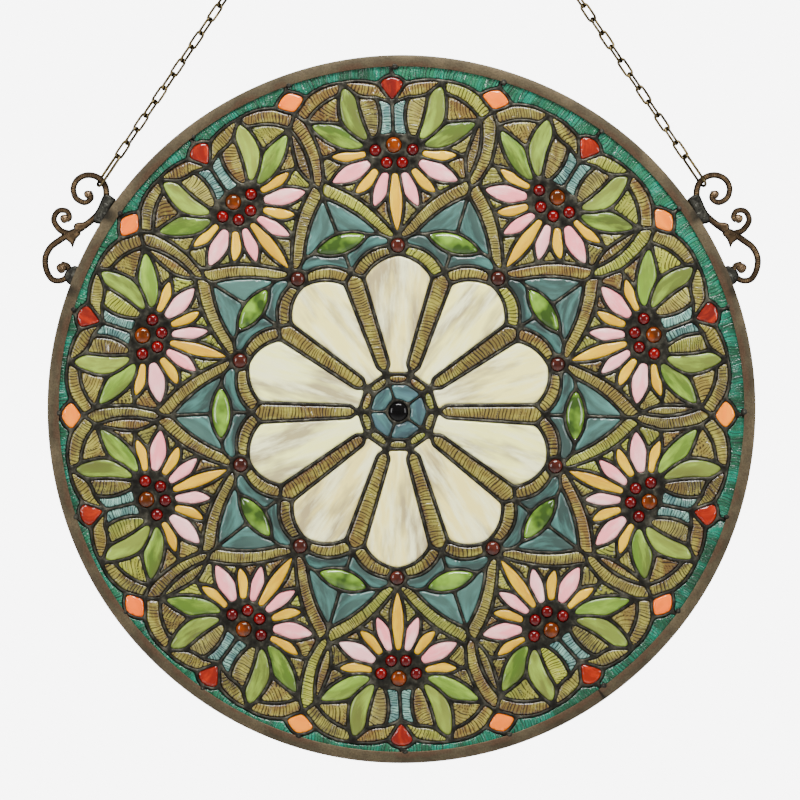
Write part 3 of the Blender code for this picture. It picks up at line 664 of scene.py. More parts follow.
def rib_lines(frame_of, outline, pitch, rng):
    """Points on lines that cross the piece, three to a rib, and how deep a groove each is in,
    which also sets how dark its painted shade is.
    The lines stand a pitch apart, more or less, and bend by sin(b t + drift) across the piece."""
    (low, high), (near, far) = frame_of[4:]
    count = int((high - low + 2 * pitch) / pitch)
    step = pitch * (1.0 + 0.3 * rng.standard_normal(count).clip(-1.5, 1.7))
    start = low - pitch + np.concatenate(([0.0], np.cumsum(step)[:-1]))
    s = (start[:, None] + step[:, None] * np.array((0.0, 0.3, 0.7))).ravel()
    groove = (rng.uniform(0.5, 1.0, count)[:, None] * (1.0, 0.0, 0.0)).ravel()
    reach = 1.4 * max(abs(near), abs(far)) + 2.0
    t = np.linspace(-reach, reach, LINE_POINTS)
    drift = np.repeat(np.cumsum(rng.uniform(-0.8, 0.8, count)), 3)[:, None]
    sway = RIB_SWAY * pitch * np.sin(t * RIB_BEND + drift)
    points = along_piece(frame_of, s[:, None] + sway, np.broadcast_to(t, (len(s), LINE_POINTS)))
    inside = within(points.reshape(-1, 2), outline).reshape(len(s), LINE_POINTS)
    kept = inside.sum(axis=1) >= 2
    first, last = inside.argmax(axis=1), LINE_POINTS - 1 - inside[:, ::-1].argmax(axis=1)
    span = float(np.median((last - first)[kept])) * (t[1] - t[0])
    across = max(2, round(span / LINE_STEP))
    share = np.linspace(0.0, 1.0, across + 1)
    place = first[:, None] + (last - first)[:, None] * share
    t_line = -reach + place * (t[1] - t[0])
    sway = RIB_SWAY * pitch * np.sin(t_line * RIB_BEND + drift)
    points = along_piece(frame_of, s[:, None] + sway, t_line)[kept]
    return points.reshape(-1, 2), np.repeat(groove[kept], across + 1)


def pillow(points, outline, half_way, rise):
    """How far points stand inside an outline, and their height: 1 - (1 - d / half_way)^2 of the
    rise at a distance d from it, and level within."""
    away = clearance(points, outline) * within(points, outline)
    edge = 1.0 - (1.0 - np.clip(away / half_way, 0.0, 1.0)) ** 2
    return away, GLASS_HALF - LEAD_LAP + rise * edge


def glass_piece(heap, outline, tone, rng, pitch=None, slant=None, rise=0.22 * MM, wave=0.10):
    """One piece of glass: its front with ribs or slow waves, its back plain, one closed shape."""
    edge = outline - inward(outline) * EDGE_TUCK
    frame_of = length_frame(outline) if slant is None else turned_frame(outline, slant)
    seed = rng.uniform(0.0, 60.0)
    if pitch:
        free, groove = rib_lines(frame_of, outline, pitch * MM, rng)
    else:
        (low, high), (near, far) = frame_of[4:]
        s, t = np.meshgrid(np.arange(low, high, WAVE_STEP),
                           np.arange(near - 3, far + 3, WAVE_STEP))
        s += WAVE_STEP / 2 * (np.arange(len(s)) % 2)[:, None]
        free = along_piece(frame_of, s.ravel(), t.ravel())
        groove = np.zeros(len(free))
    single = np.unique(np.round(free, 2), axis=0, return_index=True)[1]
    free, groove = free[single], groove[single]
    clear = (clearance(free, outline) > FOIL) & within(free, outline)
    free, groove = free[clear], groove[clear]
    for facing, inner, mark in ((1, free, groove), (-1, free[::3] if pitch else free[::2], None)):
        points, faces = fill(edge, [], np.vstack((outline, inner)))
        away, depth = pillow(points, outline, EDGE_FALL, rise)
        marks = np.zeros(len(points))
        if facing > 0 and pitch:
            marks[len(edge) + len(outline):] = mark
            depth = depth + RIB_RISE * (0.5 - marks) * np.clip(away / RIB_START, 0, 1)
            # Painted shade: the outline's points take a groove mark of 0.6, which darkens the
            # glass along the lead.
            marks[len(edge):len(edge) + len(outline)] = 0.6
        waves = uneven(points + seed, WAVE_LENGTH) * np.clip(away / (2 * MM), 0, 1)
        depth = depth + wave * MM * waves
        depth[:len(edge)] = 0.0
        heap.add(points, -facing * depth, faces, facing, tone=tone, groove=marks,
                 grain=grain_of(frame_of, points, seed))


def shade(rng, pale, deep, bias=0.0):
    """A piece's colour somewhere between a pale and a deep one, each read off a screen."""
    share = float(np.clip(rng.uniform(0.0, 1.0) + bias, 0.0, 1.0))
    return np.array(colour(*(np.array(pale) + (np.array(deep) - np.array(pale)) * share)))


def streaked_glass(name, patch, light, painted_groove_shade, stretch, streaks, roughness, crest=0.0):
    """Glass of its piece's own tone, with patches and light streaks drawn out along the piece,
    a painted highlight on the ribs' crests, and painted shade in the grooves and along the lead."""
    patch, light, painted_groove_shade = (colour(*tone) for tone in (patch, light, painted_groove_shade))
    finish = Finish(name, IOR=1.5)
    tone, grain = finish.mark("tone", "Vector"), finish.mark("grain", "Vector")
    drawn = finish.node("Mapping", Vector=grain, Scale=(*stretch, 7.0))
    cloud = finish.noise(drawn, 1.0, 5.0, 0.6)
    broad = finish.node("Mapping", Vector=grain, Scale=(stretch[0] * 0.6, stretch[1] * 0.5, 3.0))
    swirl = finish.noise(broad, 1.0, 3.0)
    body = finish.blend(finish.ramp(swirl, (0.45, 0.0), (0.62, streaks)), tone, patch)
    body = finish.blend(finish.ramp(cloud, (0.46, 0.0), (0.66, streaks)), body, light)
    # Painted highlight: the ribs' crests (groove mark 0) go a share crest of the way to the light
    # colour. Painted shade: the grooves, and the outline (mark 0.6), go nearly to the groove
    # colour.
    mark = finish.mark("groove")
    body = finish.blend(finish.ramp(mark, (0.0, crest), (0.3, 0.0)), body, light)
    body = finish.blend(finish.ramp(mark, (0.2, 0.0), (0.65, 1.0)), body,
                        finish.blend(0.9, body, painted_groove_shade))
    finish.set(finish.shader, {"Base Color": body, "Roughness": roughness})
    finish.relief(finish.noise(finish.place(), 420.0, 2.0), 0.0004, 0.25)
    return finish


def glass_of(label, finish, seed, tones, tone_of=None, **how):
    """All the pieces of some kinds, gathered tenth by tenth into one mesh each. Their tones are
    a pale and a deep colour for each kind."""
    rng = np.random.default_rng(seed)
    for k in range(TENTHS):
        heap = Heap()
        for kind, number, outline in GLASS:
            if number == k and kind in tones:
                tone = tone_of(kind, k, rng) if tone_of else shade(rng, *tones[kind])
                made = {name: value[kind] if isinstance(value, dict) else value
                        for name, value in how.items()}
                glass_piece(heap, outline, tone, rng, **made)
        if heap.count:
            heap.make(f"{label}_{k + 1:02d}", finish.material, "leaded_field")


# For each kind its pale and deep colour, the width of a rib and the slant of the ribs, which
# run square to the piece's length where none is given
RIPPLE = {"spoke": ((173, 157, 101), (121, 97, 59), 2.5, None),
          "scallop": ((155, 138, 87), (110, 88, 52), 2.6, None),
          "v_band": ((161, 147, 95), (121, 103, 63), 2.1, None),
          "gusset_1": ((171, 163, 105), (112, 97, 59), 2.3, None),
          "gusset_2": ((171, 161, 105), (112, 94, 56), 2.3, 0.5),
          "gusset_3": ((182, 177, 113), (128, 113, 68), 2.4, 0.9),
          "gusset_4": ((173, 171, 109), (112, 97, 59), 2.4, 1.3),
          "gusset_5": ((169, 161, 105), (106, 88, 54), 2.3, 1.4),
          "crescent": ((173, 163, 116), (104, 88, 56), 2.2, None),
          "corner": ((171, 155, 101), (113, 86, 52), 2.4, 0.7),
          "top_crescent": ((167, 151, 89), (101, 83, 50), 2.3, None),
          "outer_band": ((161, 146, 93), (104, 86, 54), 2.4, None),
          "knot_band": ((155, 138, 87), (112, 94, 58), 2.1, None),
          "knot_crescent": ((151, 132, 83), (104, 85, 52), 2.0, None),
          "tile": ((171, 171, 113), (117, 106, 67), 2.0, 0.0)}


def ripple_tone(kind, k, rng):
    """Olive, deeper at the bottom of the panel, and here and there a brown or a yellower piece.
    One tile is orange."""
    if kind == "tile" and k == 1:
        return np.array(colour(138, 92, 54))
    pale, deep = RIPPLE[kind][:2]
    chance = rng.random()
    if chance < 0.24:
        return shade(rng, (152, 118, 74), (126, 94, 58))
    if chance > 0.86:
        return shade(rng, (182, 182, 112), (150, 150, 88))
    return shade(rng, pale, deep, 0.28 * (0.5 - 0.5 * math.cos(k * TURN)) - 0.1)


# The last colour is the painted shade in the grooves and along the lead; crest is the painted
# highlight on the ribs.
ripple_glass = streaked_glass("ripple_glass", (128, 84, 52), (200, 194, 140), (38, 29, 16),
                              (0.4, 0.9), 0.5, 0.24, crest=0.1)
glass_of("ripple_glass", ripple_glass, 11, RIPPLE, ripple_tone,
         pitch={kind: row[2] for kind, row in RIPPLE.items()},
         slant={kind: row[3] for kind, row in RIPPLE.items()}, rise=0.35 * MM)


# The ten cream petals: opalescent sheet, milky with beige and faintly mauve streaks that run
# up and down each petal, some petals warmer than others, each in a seat of its own.
cream_glass = streaked_glass("cream_glass", (184, 172, 152), (232, 230, 212), (150, 140, 120),
                             (0.22, 1.1), 0.85, 0.22)
rng = np.random.default_rng(3)
for kind, k, outline in GLASS:
    if kind == "petal":
        heap = Heap()
        tone = shade(rng, (230, 226, 200), (222, 214, 182))
        glass_piece(heap, outline, tone, rng, rise=0.5 * MM, wave=0.16)
        heap.make(f"cream_petal_{k + 1:02d}", cream_glass.material, f"petal_pane_{k + 1:02d}")


# The sky blue and teal glass: five trapezoids round the middle jewel, and the ring of pieces
# about the long jewels. The sheet is grey teal with lighter wisps, bluer further out.
teal_glass = streaked_glass("teal_glass", (62, 82, 78), (140, 178, 172), (30, 44, 42),
                            (0.3, 1.3), 0.5, 0.3)
glass_of("teal_glass", teal_glass, 5, {"blue": ((112, 142, 148), (84, 110, 118)),
                                       "teal_low": ((88, 110, 104), (60, 80, 76)),
                                       "teal_high": ((116, 146, 138), (80, 102, 96))})


# The blue ripple crescents, a pair below each red fan: pale blue glass, some of it greyer, rolled
# like the olive glass, with the same wavy grooves across darkened by painted shade, and the same
# painted highlight on the ribs.
pale_blue = streaked_glass("blue_ripple_glass", (76, 112, 132), (196, 212, 204), (28, 40, 36),
                           (1.2, 0.9), 0.4, 0.14, crest=0.08)
glass_of("blue_ripple_glass", pale_blue, 8, {"blue_crescent": ((150, 178, 170), (96, 130, 126))},
         pitch=2.1)


# The daisies' petals: opalescent glass, soft pink and honey yellow by turns. It is smooth, and
# each piece is worn round where it meets the lead.
pink_glass = streaked_glass("pink_glass", (222, 176, 178), (244, 228, 222), (120, 90, 60),
                            (0.4, 1.4), 0.35, 0.3)
glass_of("pink_petals", pink_glass, 21,
         dict.fromkeys(("pink_in", "pink_out"), ((240, 206, 204), (230, 184, 184))))
yellow_glass = streaked_glass("honey_glass", (206, 164, 60), (232, 214, 128), (120, 90, 60),
                              (0.4, 1.4), 0.3, 0.3)
honey = ((226, 200, 84), (212, 180, 62))
glass_of("yellow_petals", yellow_glass, 22,
         dict.fromkeys(("yellow_in", "yellow_out", "yellow_mid"), honey))


# The leaves: streaked green sheet, the lower pair of each flower clear leaf green, the upper
# pair greyer and browner.
leaf_glass = streaked_glass("leaf_glass", (126, 118, 72), (196, 206, 144), (50, 60, 26),
                            (0.3, 1.2), 0.5, 0.3)
glass_of("leaves", leaf_glass, 4, {"leaf_low": ((164, 180, 106), (112, 134, 58)),
                                   "leaf_high": ((178, 182, 118), (134, 142, 78))})


# The border: emerald glass, hammered so that it sparkles, with turquoise patches. It fills the
# space between the flowers' outer bands and the rim.
# Its grooves and its edge along the lead are darkened by painted shade to the last colour.
border_glass = streaked_glass("emerald_glass", (84, 166, 146), (28, 82, 52), (14, 54, 38),
                              (1.2, 0.4), 0.75, 0.22)
border_glass.relief(border_glass.noise(border_glass.place(), 330.0, 3.0, 0.7), 0.0011, 0.7)
glass_of("emerald_border", border_glass, 14, {"border": ((78, 146, 112), (36, 98, 66))}, pitch=2.2)


# Between the border's pieces a red fan above each flower and an orange diamond above each knot,
# both of smooth glossy sheet.
warm_glass = streaked_glass("red_and_orange_glass", (196, 70, 40), (244, 150, 90), (120, 30, 14),
                            (0.4, 1.6), 0.22, 0.12)
glass_of("fans_and_diamonds", warm_glass, 17, {"fan": ((182, 74, 48), (140, 44, 36)),
                                               "diamond": ((254, 196, 84), (253, 172, 56))})


# The round jewels: pressed glass domes with a flat foot, each in its own ring of foil: red and
# amber in the flowers, brown-red about the rosette and one black in the middle. Each is a little
# wider than its hole in the lead, which holds it.
JEWEL_LAP = 1.02


def dome(heap, middle, radius, rise, foot, rings=6, round_count=20):
    """A turned dome: radius cos(a) and height sin(a)^0.9 as a goes from its foot to its crown."""
    angle = np.linspace(0.0, math.pi / 2, rings + 1)[:-1]
    round_it = np.arange(round_count) * 2.0 * math.pi / round_count
    reach = np.concatenate(([1.0], np.cos(angle)))
    height = np.concatenate(([0.0], foot + rise * np.sin(angle) ** 0.9))
    flat = np.stack((reach[:, None] * np.cos(round_it), reach[:, None] * np.sin(round_it)), axis=2)
    flat = np.vstack((flat.reshape(-1, 2) * radius, (0.0, 0.0))) + middle
    depth = -np.append(np.repeat(height, round_count), foot + rise)
    row = np.arange(round_count)
    beside = (row + 1) % round_count
    faces = [np.stack((row, beside, row + round_count), 1) + n * round_count for n in range(rings)]
    faces += [np.stack((beside, beside + round_count, row + round_count), 1) + n * round_count
              for n in range(rings)]
    top = rings * round_count
    faces.append(np.stack((row + top, beside + top, np.full(round_count, top + round_count)), 1))
    faces.append(np.stack((beside[1:-1], row[1:-1], np.zeros(round_count - 2, int)), 1))
    heap.add(flat, depth, np.vstack(faces))


def jewel_glass(name, deep, lit, scale=90.0, bend=1.4):
    """Pressed glass: deep, with lighter clouds inside."""
    finish = Finish(name, Roughness=0.05, IOR=bend)
    cloud = finish.noise(finish.place(), scale, 2.0)
    body = finish.ramp(cloud, (0.4, colour(*deep)), (0.66, colour(*lit)))
    finish.set(finish.shader, {"Base Color": body})
    return finish.material


JEWEL_GLASS = {"red": jewel_glass("red_jewel_glass", (120, 2, 12), (164, 8, 22)),
               "amber": jewel_glass("amber_jewel_glass", (112, 48, 8), (176, 92, 18)),
               "rosette_jewel": jewel_glass("brown_red_jewel_glass", (78, 28, 18), (118, 50, 34)),
               "centre_jewel": jewel_glass("black_jewel_glass", (4, 3, 3), (9, 8, 8), bend=1.25)}
for k in range(TENTHS):
    for name in ("red", "amber"):
        heap = Heap()
        for label, x, y in BERRIES:
            if label == name:
                dome(heap, tenth(x, y, k), JEWEL_RADIUS[name] * JEWEL_LAP, 3.6 * MM, 1.7 * MM)
        heap.make(f"{name}_jewels_{k + 1:02d}", JEWEL_GLASS[name], "leaded_field")
for kind, k, outline in GLASS:
    if kind in ("rosette_jewel", "centre_jewel"):
        heap = Heap()
        dome(heap, outline.mean(axis=0), JEWEL_RADIUS[kind] * JEWEL_LAP, 3.7 * MM, 1.6 * MM, 8, 32)
        node = f"{kind}_{k + 1:02d}" if kind == "rosette_jewel" else kind
        heap.make(node + "_dome", JEWEL_GLASS[kind], node)


# The ten long jewels: bright green glass, pointed at both ends, with polished sides that rise in
# a soft curve from the lead to a ridge along the middle.


def cut_jewel(heap, outline, rise):
    """A boat of glass: the outline drawn in by each share towards a ridge along its middle half,
    at the share's height; the first share is the foot, at the middle of the sheet."""
    middle, long_way, _, _, (low, high), _ = length_frame(outline)
    place = (outline - middle) @ long_way
    pick = spaced(np.roll(outline, -int(place.argmax()), axis=0), 1.0)
    pick = pick[np.linspace(0, len(pick), 36, endpoint=False).astype(int)]
    ridge = middle + np.outer(((pick - middle) @ long_way).clip(low * 0.5, high * 0.5), long_way)
    rows = [pick + (ridge - pick) * share for share in (0.0, 0.0, 0.2, 0.55, 0.97)]
    depths = [0.0] + [-GLASS_HALF - rise * height for height in (0.0, 0.45, 0.82, 1.0)]
    count = len(pick)
    row = np.arange(count)
    beside = (row + 1) % count
    upright = np.stack((row, beside, row + count), 1)
    turned = np.stack((beside, beside + count, row + count), 1)
    back = np.stack((beside[1:-1], row[1:-1], np.zeros(count - 2, int)), 1)
    top = back[:, [1, 0, 2]] + 4 * count
    faces = [half + n * count for n in range(4) for half in (upright, turned)] + [back, top]
    heap.add(np.vstack(rows), np.repeat(depths, count), np.vstack(faces))


long_glass = jewel_glass("green_jewel_glass", (84, 108, 48), (168, 186, 116), 60.0)
for kind, k, outline in GLASS:
    if kind == "long_jewel":
        heap = Heap()
        cut_jewel(heap, outline - inward(outline) * FOIL, 2.4 * MM)
        heap.make(f"long_jewel_{k + 1:02d}_cut", long_glass, f"long_jewel_{k + 1:02d}")


# The rim: a strip of brass channel bent round, its groove holding the glass. It has dulled to a
# reddish brown, with grey where the solder ran, and the lap of its ends shows as a dark joint.
RIM_DEPTH = 0.008
RIM_WAVE = 0.0001
EDGE_ROUND = 0.0005
LIP = 0.0029
JOINT_ANGLE = math.radians(-54.9)
WELD_ANGLES = (146.6, 160.4)


def grid_faces(rows, across, closed=True):
    """Quads of a grid of points whose rows close on themselves, and also its columns if closed."""
    i, j = np.meshgrid(np.arange(rows if closed else rows - 1), np.arange(across), indexing="ij")
    following, beside = (i + 1) % rows, (j + 1) % across
    return np.stack((i * across + j, i * across + beside, following * across + beside,
                     following * across + j), axis=2).reshape(-1, 4)


def halved(quads):
    """Each quad as two triangles."""
    return np.vstack((quads[:, [0, 1, 2]], quads[:, [0, 2, 3]]))


def swept_ring(profile, angle, height):
    """A closed profile of (radius, depth) pairs carried round a circle in the panel's plane, with
    the radius waving by sin(9 a)."""
    reach = profile[None, :, 0] + RIM_WAVE * np.sin(9 * angle)[:, None]
    x = reach * np.cos(angle)[:, None]
    z = height + reach * np.sin(angle)[:, None]
    points = np.stack((x, np.broadcast_to(profile[:, 1], x.shape), z), axis=2).reshape(-1, 3)
    return points, grid_faces(len(angle), len(profile))


def rounded(corners, radius, count=3):
    """A closed profile's corners turned into small arcs of a few points."""
    out = []
    for before, at, after in zip(np.roll(corners, 1, 0), corners, np.roll(corners, -1, 0)):
        start = at + (before - at) / np.linalg.norm(before - at) * radius
        end = at + (after - at) / np.linalg.norm(after - at) * radius
        for share in np.linspace(0.0, 1.0, count):
            out.append((1 - share) ** 2 * start + 2 * share * (1 - share) * at + share ** 2 * end)
    return np.array(out)


def lump(middle, radii, seed, count=20):
    """A blob of metal: a ball stretched three ways, with a few slow waves over it."""
    up, turn = np.meshgrid(np.linspace(0.0, math.pi, count // 2 + 1),
                           np.arange(count) * 2.0 * math.pi / count, indexing="ij")
    way = np.stack((np.sin(up) * np.cos(turn), np.cos(up), np.sin(up) * np.sin(turn)), axis=2)
    swell = 1.0 + 0.06 * np.sin(3 * way[..., 0] + seed) * np.sin(2.6 * way[..., 2] + 2 * seed)
    points = (np.asarray(middle) + way * swell[..., None] * np.asarray(radii)).reshape(-1, 3)
    faces = halved(grid_faces(count // 2 + 1, count, closed=False))
    # The mark is for painted shade: 0.8 on the face towards the front, 0.2 on the sides and back,
    # which the finish darkens.
    return points, faces, 0.2 + 0.6 * np.clip(-way[..., 1].reshape(-1), 0.0, 1.0)


def gathered(pieces):
    """Several sets of points, triangles and point marks as one."""
    first = np.cumsum([0] + [len(points) for points, *_ in pieces])
    return (np.vstack([points for points, *_ in pieces]),
            np.vstack([faces + start for (_, faces, _), start in zip(pieces, first)]),
            np.concatenate([marks for *_, marks in pieces]))


def crested(name, pieces, finish, node):
    """One mesh of several lengths or lumps of metal, with a mark on its points: the rim's reddish
    inner strip, or elsewhere painted shade where the mark is low.
    """
    points, faces, crest = gathered(pieces)
    made = new_mesh(name, points, faces, finish.material)
    keep_mark(made, "crown", crest)
    fitted(made, node)
    return made


sight, wall, half_depth = PANEL_RADIUS - RIM_FACE, PANEL_RADIUS - RIM_WALL, RIM_DEPTH / 2
corners = np.array([(PANEL_RADIUS, -half_depth), (PANEL_RADIUS, half_depth), (sight, half_depth),
                    (sight, LIP), (wall, LIP), (wall, -LIP), (sight, -LIP),
                    (sight, -half_depth)])
channel = rounded(corners, EDGE_ROUND) - (1.2 * RIM_WAVE, 0.0)
angle = np.sort(np.append(np.linspace(-math.pi, math.pi, 360, endpoint=False),
                          JOINT_ANGLE + np.radians((-0.5, -0.22, 0.0, 0.22))))
rim_points, rim_faces = swept_ring(channel, angle, PANEL_HEIGHT)
bronze = Finish("aged_rim_metal", Metallic=0.75, Specular_Tint=(0.3, 0.3, 0.3))
where = bronze.place()
patches = bronze.noise(where, 26.0, 4.0, 0.6)
fine = bronze.noise(where, 700.0, 3.0, 0.7)
tone = bronze.ramp(patches, (0.34, colour(112, 100, 82)), (0.5, colour(134, 122, 102)),
                   (0.62, colour(148, 134, 112)), (0.76, colour(150, 145, 130)))
redder = bronze.sum("MULTIPLY", bronze.mark("crown"),
                    bronze.ramp(patches, (0.42, 1.2), (0.6, 0.3)))
tone = bronze.blend(bronze.ramp(redder, (0.42, 0.0), (0.8, 0.7)), tone, colour(144, 116, 96))
tone = bronze.blend(bronze.ramp(fine, (0.35, 0.5), (0.6, 0.0)), tone, colour(84, 74, 60))
dark = bronze.sum("MULTIPLY_ADD", bronze.sum("SUBTRACT", patches, 0.5), 0.9, bronze.mark("dark"))
tone = bronze.blend(bronze.ramp(dark, (0.3, 0.0), (0.75, 0.9)), tone, colour(46, 42, 36))
bronze.set(bronze.shader, {"Base Color": tone,
                           "Roughness": bronze.sum("MULTIPLY_ADD", patches, 0.3, 0.34)})
bronze.relief(bronze.sum("MULTIPLY_ADD", fine, 0.4, patches), 0.0006, 0.5)
inner_share = np.tile((PANEL_RADIUS - channel[:, 0]) / RIM_FACE, len(angle))
rim = crested("rim", [(rim_points, rim_faces, inner_share)], bronze, "rim_frame")
smears = np.radians([at for weld in WELD_ANGLES for at in (weld, 180.0 - weld)])
dark = sum(np.exp(-((angle - at) / 0.022) ** 2) for at in smears) * 0.8
dark = dark + 0.6 * np.exp(-((angle - JOINT_ANGLE) / 0.014) ** 2)
dark = dark + (np.abs(angle - JOINT_ANGLE) < 0.002)
keep_mark(rim, "dark", np.outer(dark, 1.15 - 0.6 * inner_share[:len(channel)]).ravel())


# Flat blobs of greyer solder on the rim, one where each joint line of the border runs out to it.
# They were dropped on by hand, so each has a size of its own.
BLOB_RISE, BLOB_SIZES = 0.0006, (0.0016, 0.0030)
grey_solder = solder_finish("grey_solder", (62, 60, 54), (92, 90, 82), (124, 122, 112))
rng = np.random.default_rng(41)
blobs = []
for k in range(TENTHS):
    for out in (half_points(k, 1)["fan_top"], side_points(k, 1)["top"]):
        way = out / np.linalg.norm(out) * (sight - 0.0002)
        size = rng.uniform(*BLOB_SIZES)
        blobs.append(lump((way[0], BLOB_RISE / 2 - half_depth, way[1] + PANEL_HEIGHT),
                          (size, BLOB_RISE, size * rng.uniform(0.7, 1.1)), rng.uniform(0, 6)))
# The blobs' sides and backs take painted shade, dark, from the mark each lump carries.
crested("rim_solder", blobs, grey_solder, "rim_frame")


# The two scroll hangers: each one casting with a grooved face, close cross ridges and curls that
# end in a ball, brown, with painted shade between the ridges, on the sides and round the edges,
# soldered to the rim above and below. Their drawing is in millimetres across and up from
# HANGER_PLACE, a little outside the rim.
DRAWN = 0.001
HANGER_ANGLE, HANGER_OUT = math.radians(146.0), PANEL_RADIUS + 0.0020
HANGER_PLACE = np.array((HANGER_OUT * math.cos(HANGER_ANGLE),
                         HANGER_OUT * math.sin(HANGER_ANGLE) + PANEL_HEIGHT))
SCROLL_STEP, RIB_PITCH, SIDES = 0.00038, 0.0016, 20


def curve_through(knots, count):
    """A smooth line through given points, evenly spaced (a Catmull-Rom spline)."""
    ends = np.vstack((2 * knots[0] - knots[1], knots, 2 * knots[-1] - knots[-2]))
    t = np.linspace(0.0, 1.0, 24, endpoint=False)[:, None]
    rows = [0.5 * (2 * b + (c - a) * t + (2 * a - 5 * b + 4 * c - d) * t ** 2
                   + (3 * b - a - 3 * c + d) * t ** 3)
            for a, b, c, d in zip(ends, ends[1:], ends[2:], ends[3:])]
    line = np.vstack((*rows, knots[-1:]))
    along = np.concatenate(([0.0], np.cumsum(np.linalg.norm(np.diff(line, axis=0), axis=1))))
    even = np.linspace(0.0, along[-1], count)
    return np.stack([np.interp(even, along, line[:, i]) for i in (0, 1)], axis=1), even


def cap(row):
    """A fan of triangles over the end of a strip whose section has so many sides."""
    spokes = row * SIDES + np.arange(SIDES)
    return np.stack((np.full(SIDES - 2, spokes[0]), spokes[2:], spokes[1:-1]), 1)


def scroll(knots, width, end_width, depth, hand):
    """A cast strip along a curve: a rounded section whose face has a rail at either side and
    between them close cross ribs, sin(2 pi s / pitch) high at s along it."""
    knots = np.array(knots) * DRAWN
    count = round(np.linalg.norm(np.diff(knots, axis=0), axis=1).sum() / SCROLL_STEP)
    line, along = curve_through(knots, count)
    run = np.gradient(line, axis=0)
    side = np.stack((-run[:, 1], run[:, 0]), axis=1) / np.linalg.norm(run, axis=1)[:, None]
    part = np.arange(SIDES) * 2.0 * math.pi / SIDES
    across = np.sign(np.cos(part)) * np.abs(np.cos(part)) ** 0.75
    out = np.sign(np.sin(part)) * np.abs(np.sin(part)) ** 0.6
    to_end = np.minimum(along, along[-1] - along)
    half = np.linspace(width, end_width, count) / 2 * np.clip(to_end / 0.0012 + 0.35, 0, 1) ** 0.5
    inner = np.clip(1.0 - np.abs(across) / 0.62, 0.0, 1.0) ** 0.3 * (out > 0.5)
    ribs = 0.5 + 0.5 * np.sin(2.0 * math.pi * along / RIB_PITCH)[:, None]
    face = out - inner * (0.22 - 0.16 * ribs)
    flat = line[:, None] + side[:, None] * (across * half[:, None])[..., None] + HANGER_PLACE
    y = np.broadcast_to(-face * depth / 2, flat.shape[:2])
    points = np.stack((hand * flat[..., 0], y, flat[..., 1]), axis=2).reshape(-1, 3)
    # Painted shade: the mark is low on the strip's sides and back and between the ribs, high on
    # the ribs' crests; the finish darkens where it is low.
    crest = np.where(inner > 0, 0.3 + 0.7 * ribs, 0.1).reshape(-1)
    faces = np.vstack((halved(grid_faces(count, SIDES, closed=False)), cap(0),
                       cap(count - 1)[:, ::-1]))
    return points, faces[:, ::hand], crest


def at_hanger(x, z, hand):
    """Where points of the hanger's drawing stand across and up, in metres."""
    return hand * (x * DRAWN + HANGER_PLACE[0]), z * DRAWN + HANGER_PLACE[1]


def cushion(corners, thick, hand, dip=0.12):
    """Metal filled into an outline of the drawing, with a face at front and back that stands
    thick * sqrt(1 - (1 - d / 2.6)^2) out at a distance d inside it, less some uneven dips."""
    ring = spaced(worn(spaced(np.array(corners, float), 1.1), 3), 0.8)
    ring = ring if area(ring) > 0 else ring[::-1]
    free = squared(ring, 0.7)
    free = free[(clearance(free, ring) > 0.35) & within(free, ring)]
    flat, faces = fill(ring, [], free)
    away = clearance(flat, ring)
    away[:len(ring)] = 0.0
    rise = thick * np.sqrt(1.0 - (1.0 - np.clip(away / 2.6, 0.0, 1.0)) ** 2)
    rise = rise * (1.0 - dip + dip * uneven(flat, 7.0) + dip / 2 * uneven(flat[:, ::-1], 2.7))
    across, up = at_hanger(flat[:, 0], flat[:, 1], hand)
    # The third item, 0 at the edge and 1 inside, is a mark for painted shade round the cushion's
    # edge.
    sheets = [(np.stack((across, way * rise, up), axis=1), faces[:, ::-way * hand],
               np.clip(away / 2.6, 0, 1)) for way in (-1, 1)]
    return gathered(sheets)


STEM = ((-31.2, -21.1), (-22.5, -16.3), (-12.1, -8.6), (-4.5, -0.2), (0, 10.5), (-1.0, 21.0),
        (-7.2, 28.0), (-16.2, 30.0), (-24.4, 26.4), (-28.2, 18.6), (-25.8, 10.2), (-18.5, 6.4),
        (-12.9, 10.2), (-14.6, 16.2))
MIDDLE_CURL = ((-27.0, -21.0), (-31.8, -20.2), (-39.5, -17.4), (-45, -8.9), (-41.5, -1.2),
               (-34.2, -0.9), (-31.4, -6.2), (-34.2, -9.6))
LOWER_CURL = ((-26.0, -18.4), (-31.5, -20.6), (-40.2, -26.2), (-48.2, -32.6), (-52.4, -42),
              (-51.1, -52.4), (-46, -60), (-37.6, -60.4), (-32, -54.4), (-33.2, -48.2),
              (-39, -46.5))
THORN = ((-28.9, -33.8), (-30.4, -29.0), (-36.4, -24.6), (-33.0, -19.5), (-24.0, -17.0),
         (-21.0, -20.8), (-25.4, -24.4), (-27.4, -29.0))
LOBE = ((-28.6, -13.4), (-26.0, -10.8), (-19.4, -10.6), (-11.9, -5.2), (-8.5, -3.0),
        (-7.0, -6.5), (-10.5, -10.2), (-19.4, -17.2), (-27.5, -19.8), (-27.6, -16.5))
BALLS = ((-15.7, 13.4, 3.6), (-35.9, -7.6, 3.9), (-38.4, -50.1, 4.5))
BALL_HALF, STEM_DEPTH = 0.0023, 0.0040
TOP_WELD = ((8.8, 9.0), (-1.2, -13.0), (-10.5, -11.5), (-12.5, -7.0), (-7.4, 1.6), (-3.4, 11.0),
            (-1.5, 14.8), (2.4, 13.5))
LOW_WELD = ((-26.2, -66.0), (-20.4, -50.5), (-27.0, -47.5), (-34.5, -51.5), (-37.0, -58.0),
            (-33.0, -64.0))

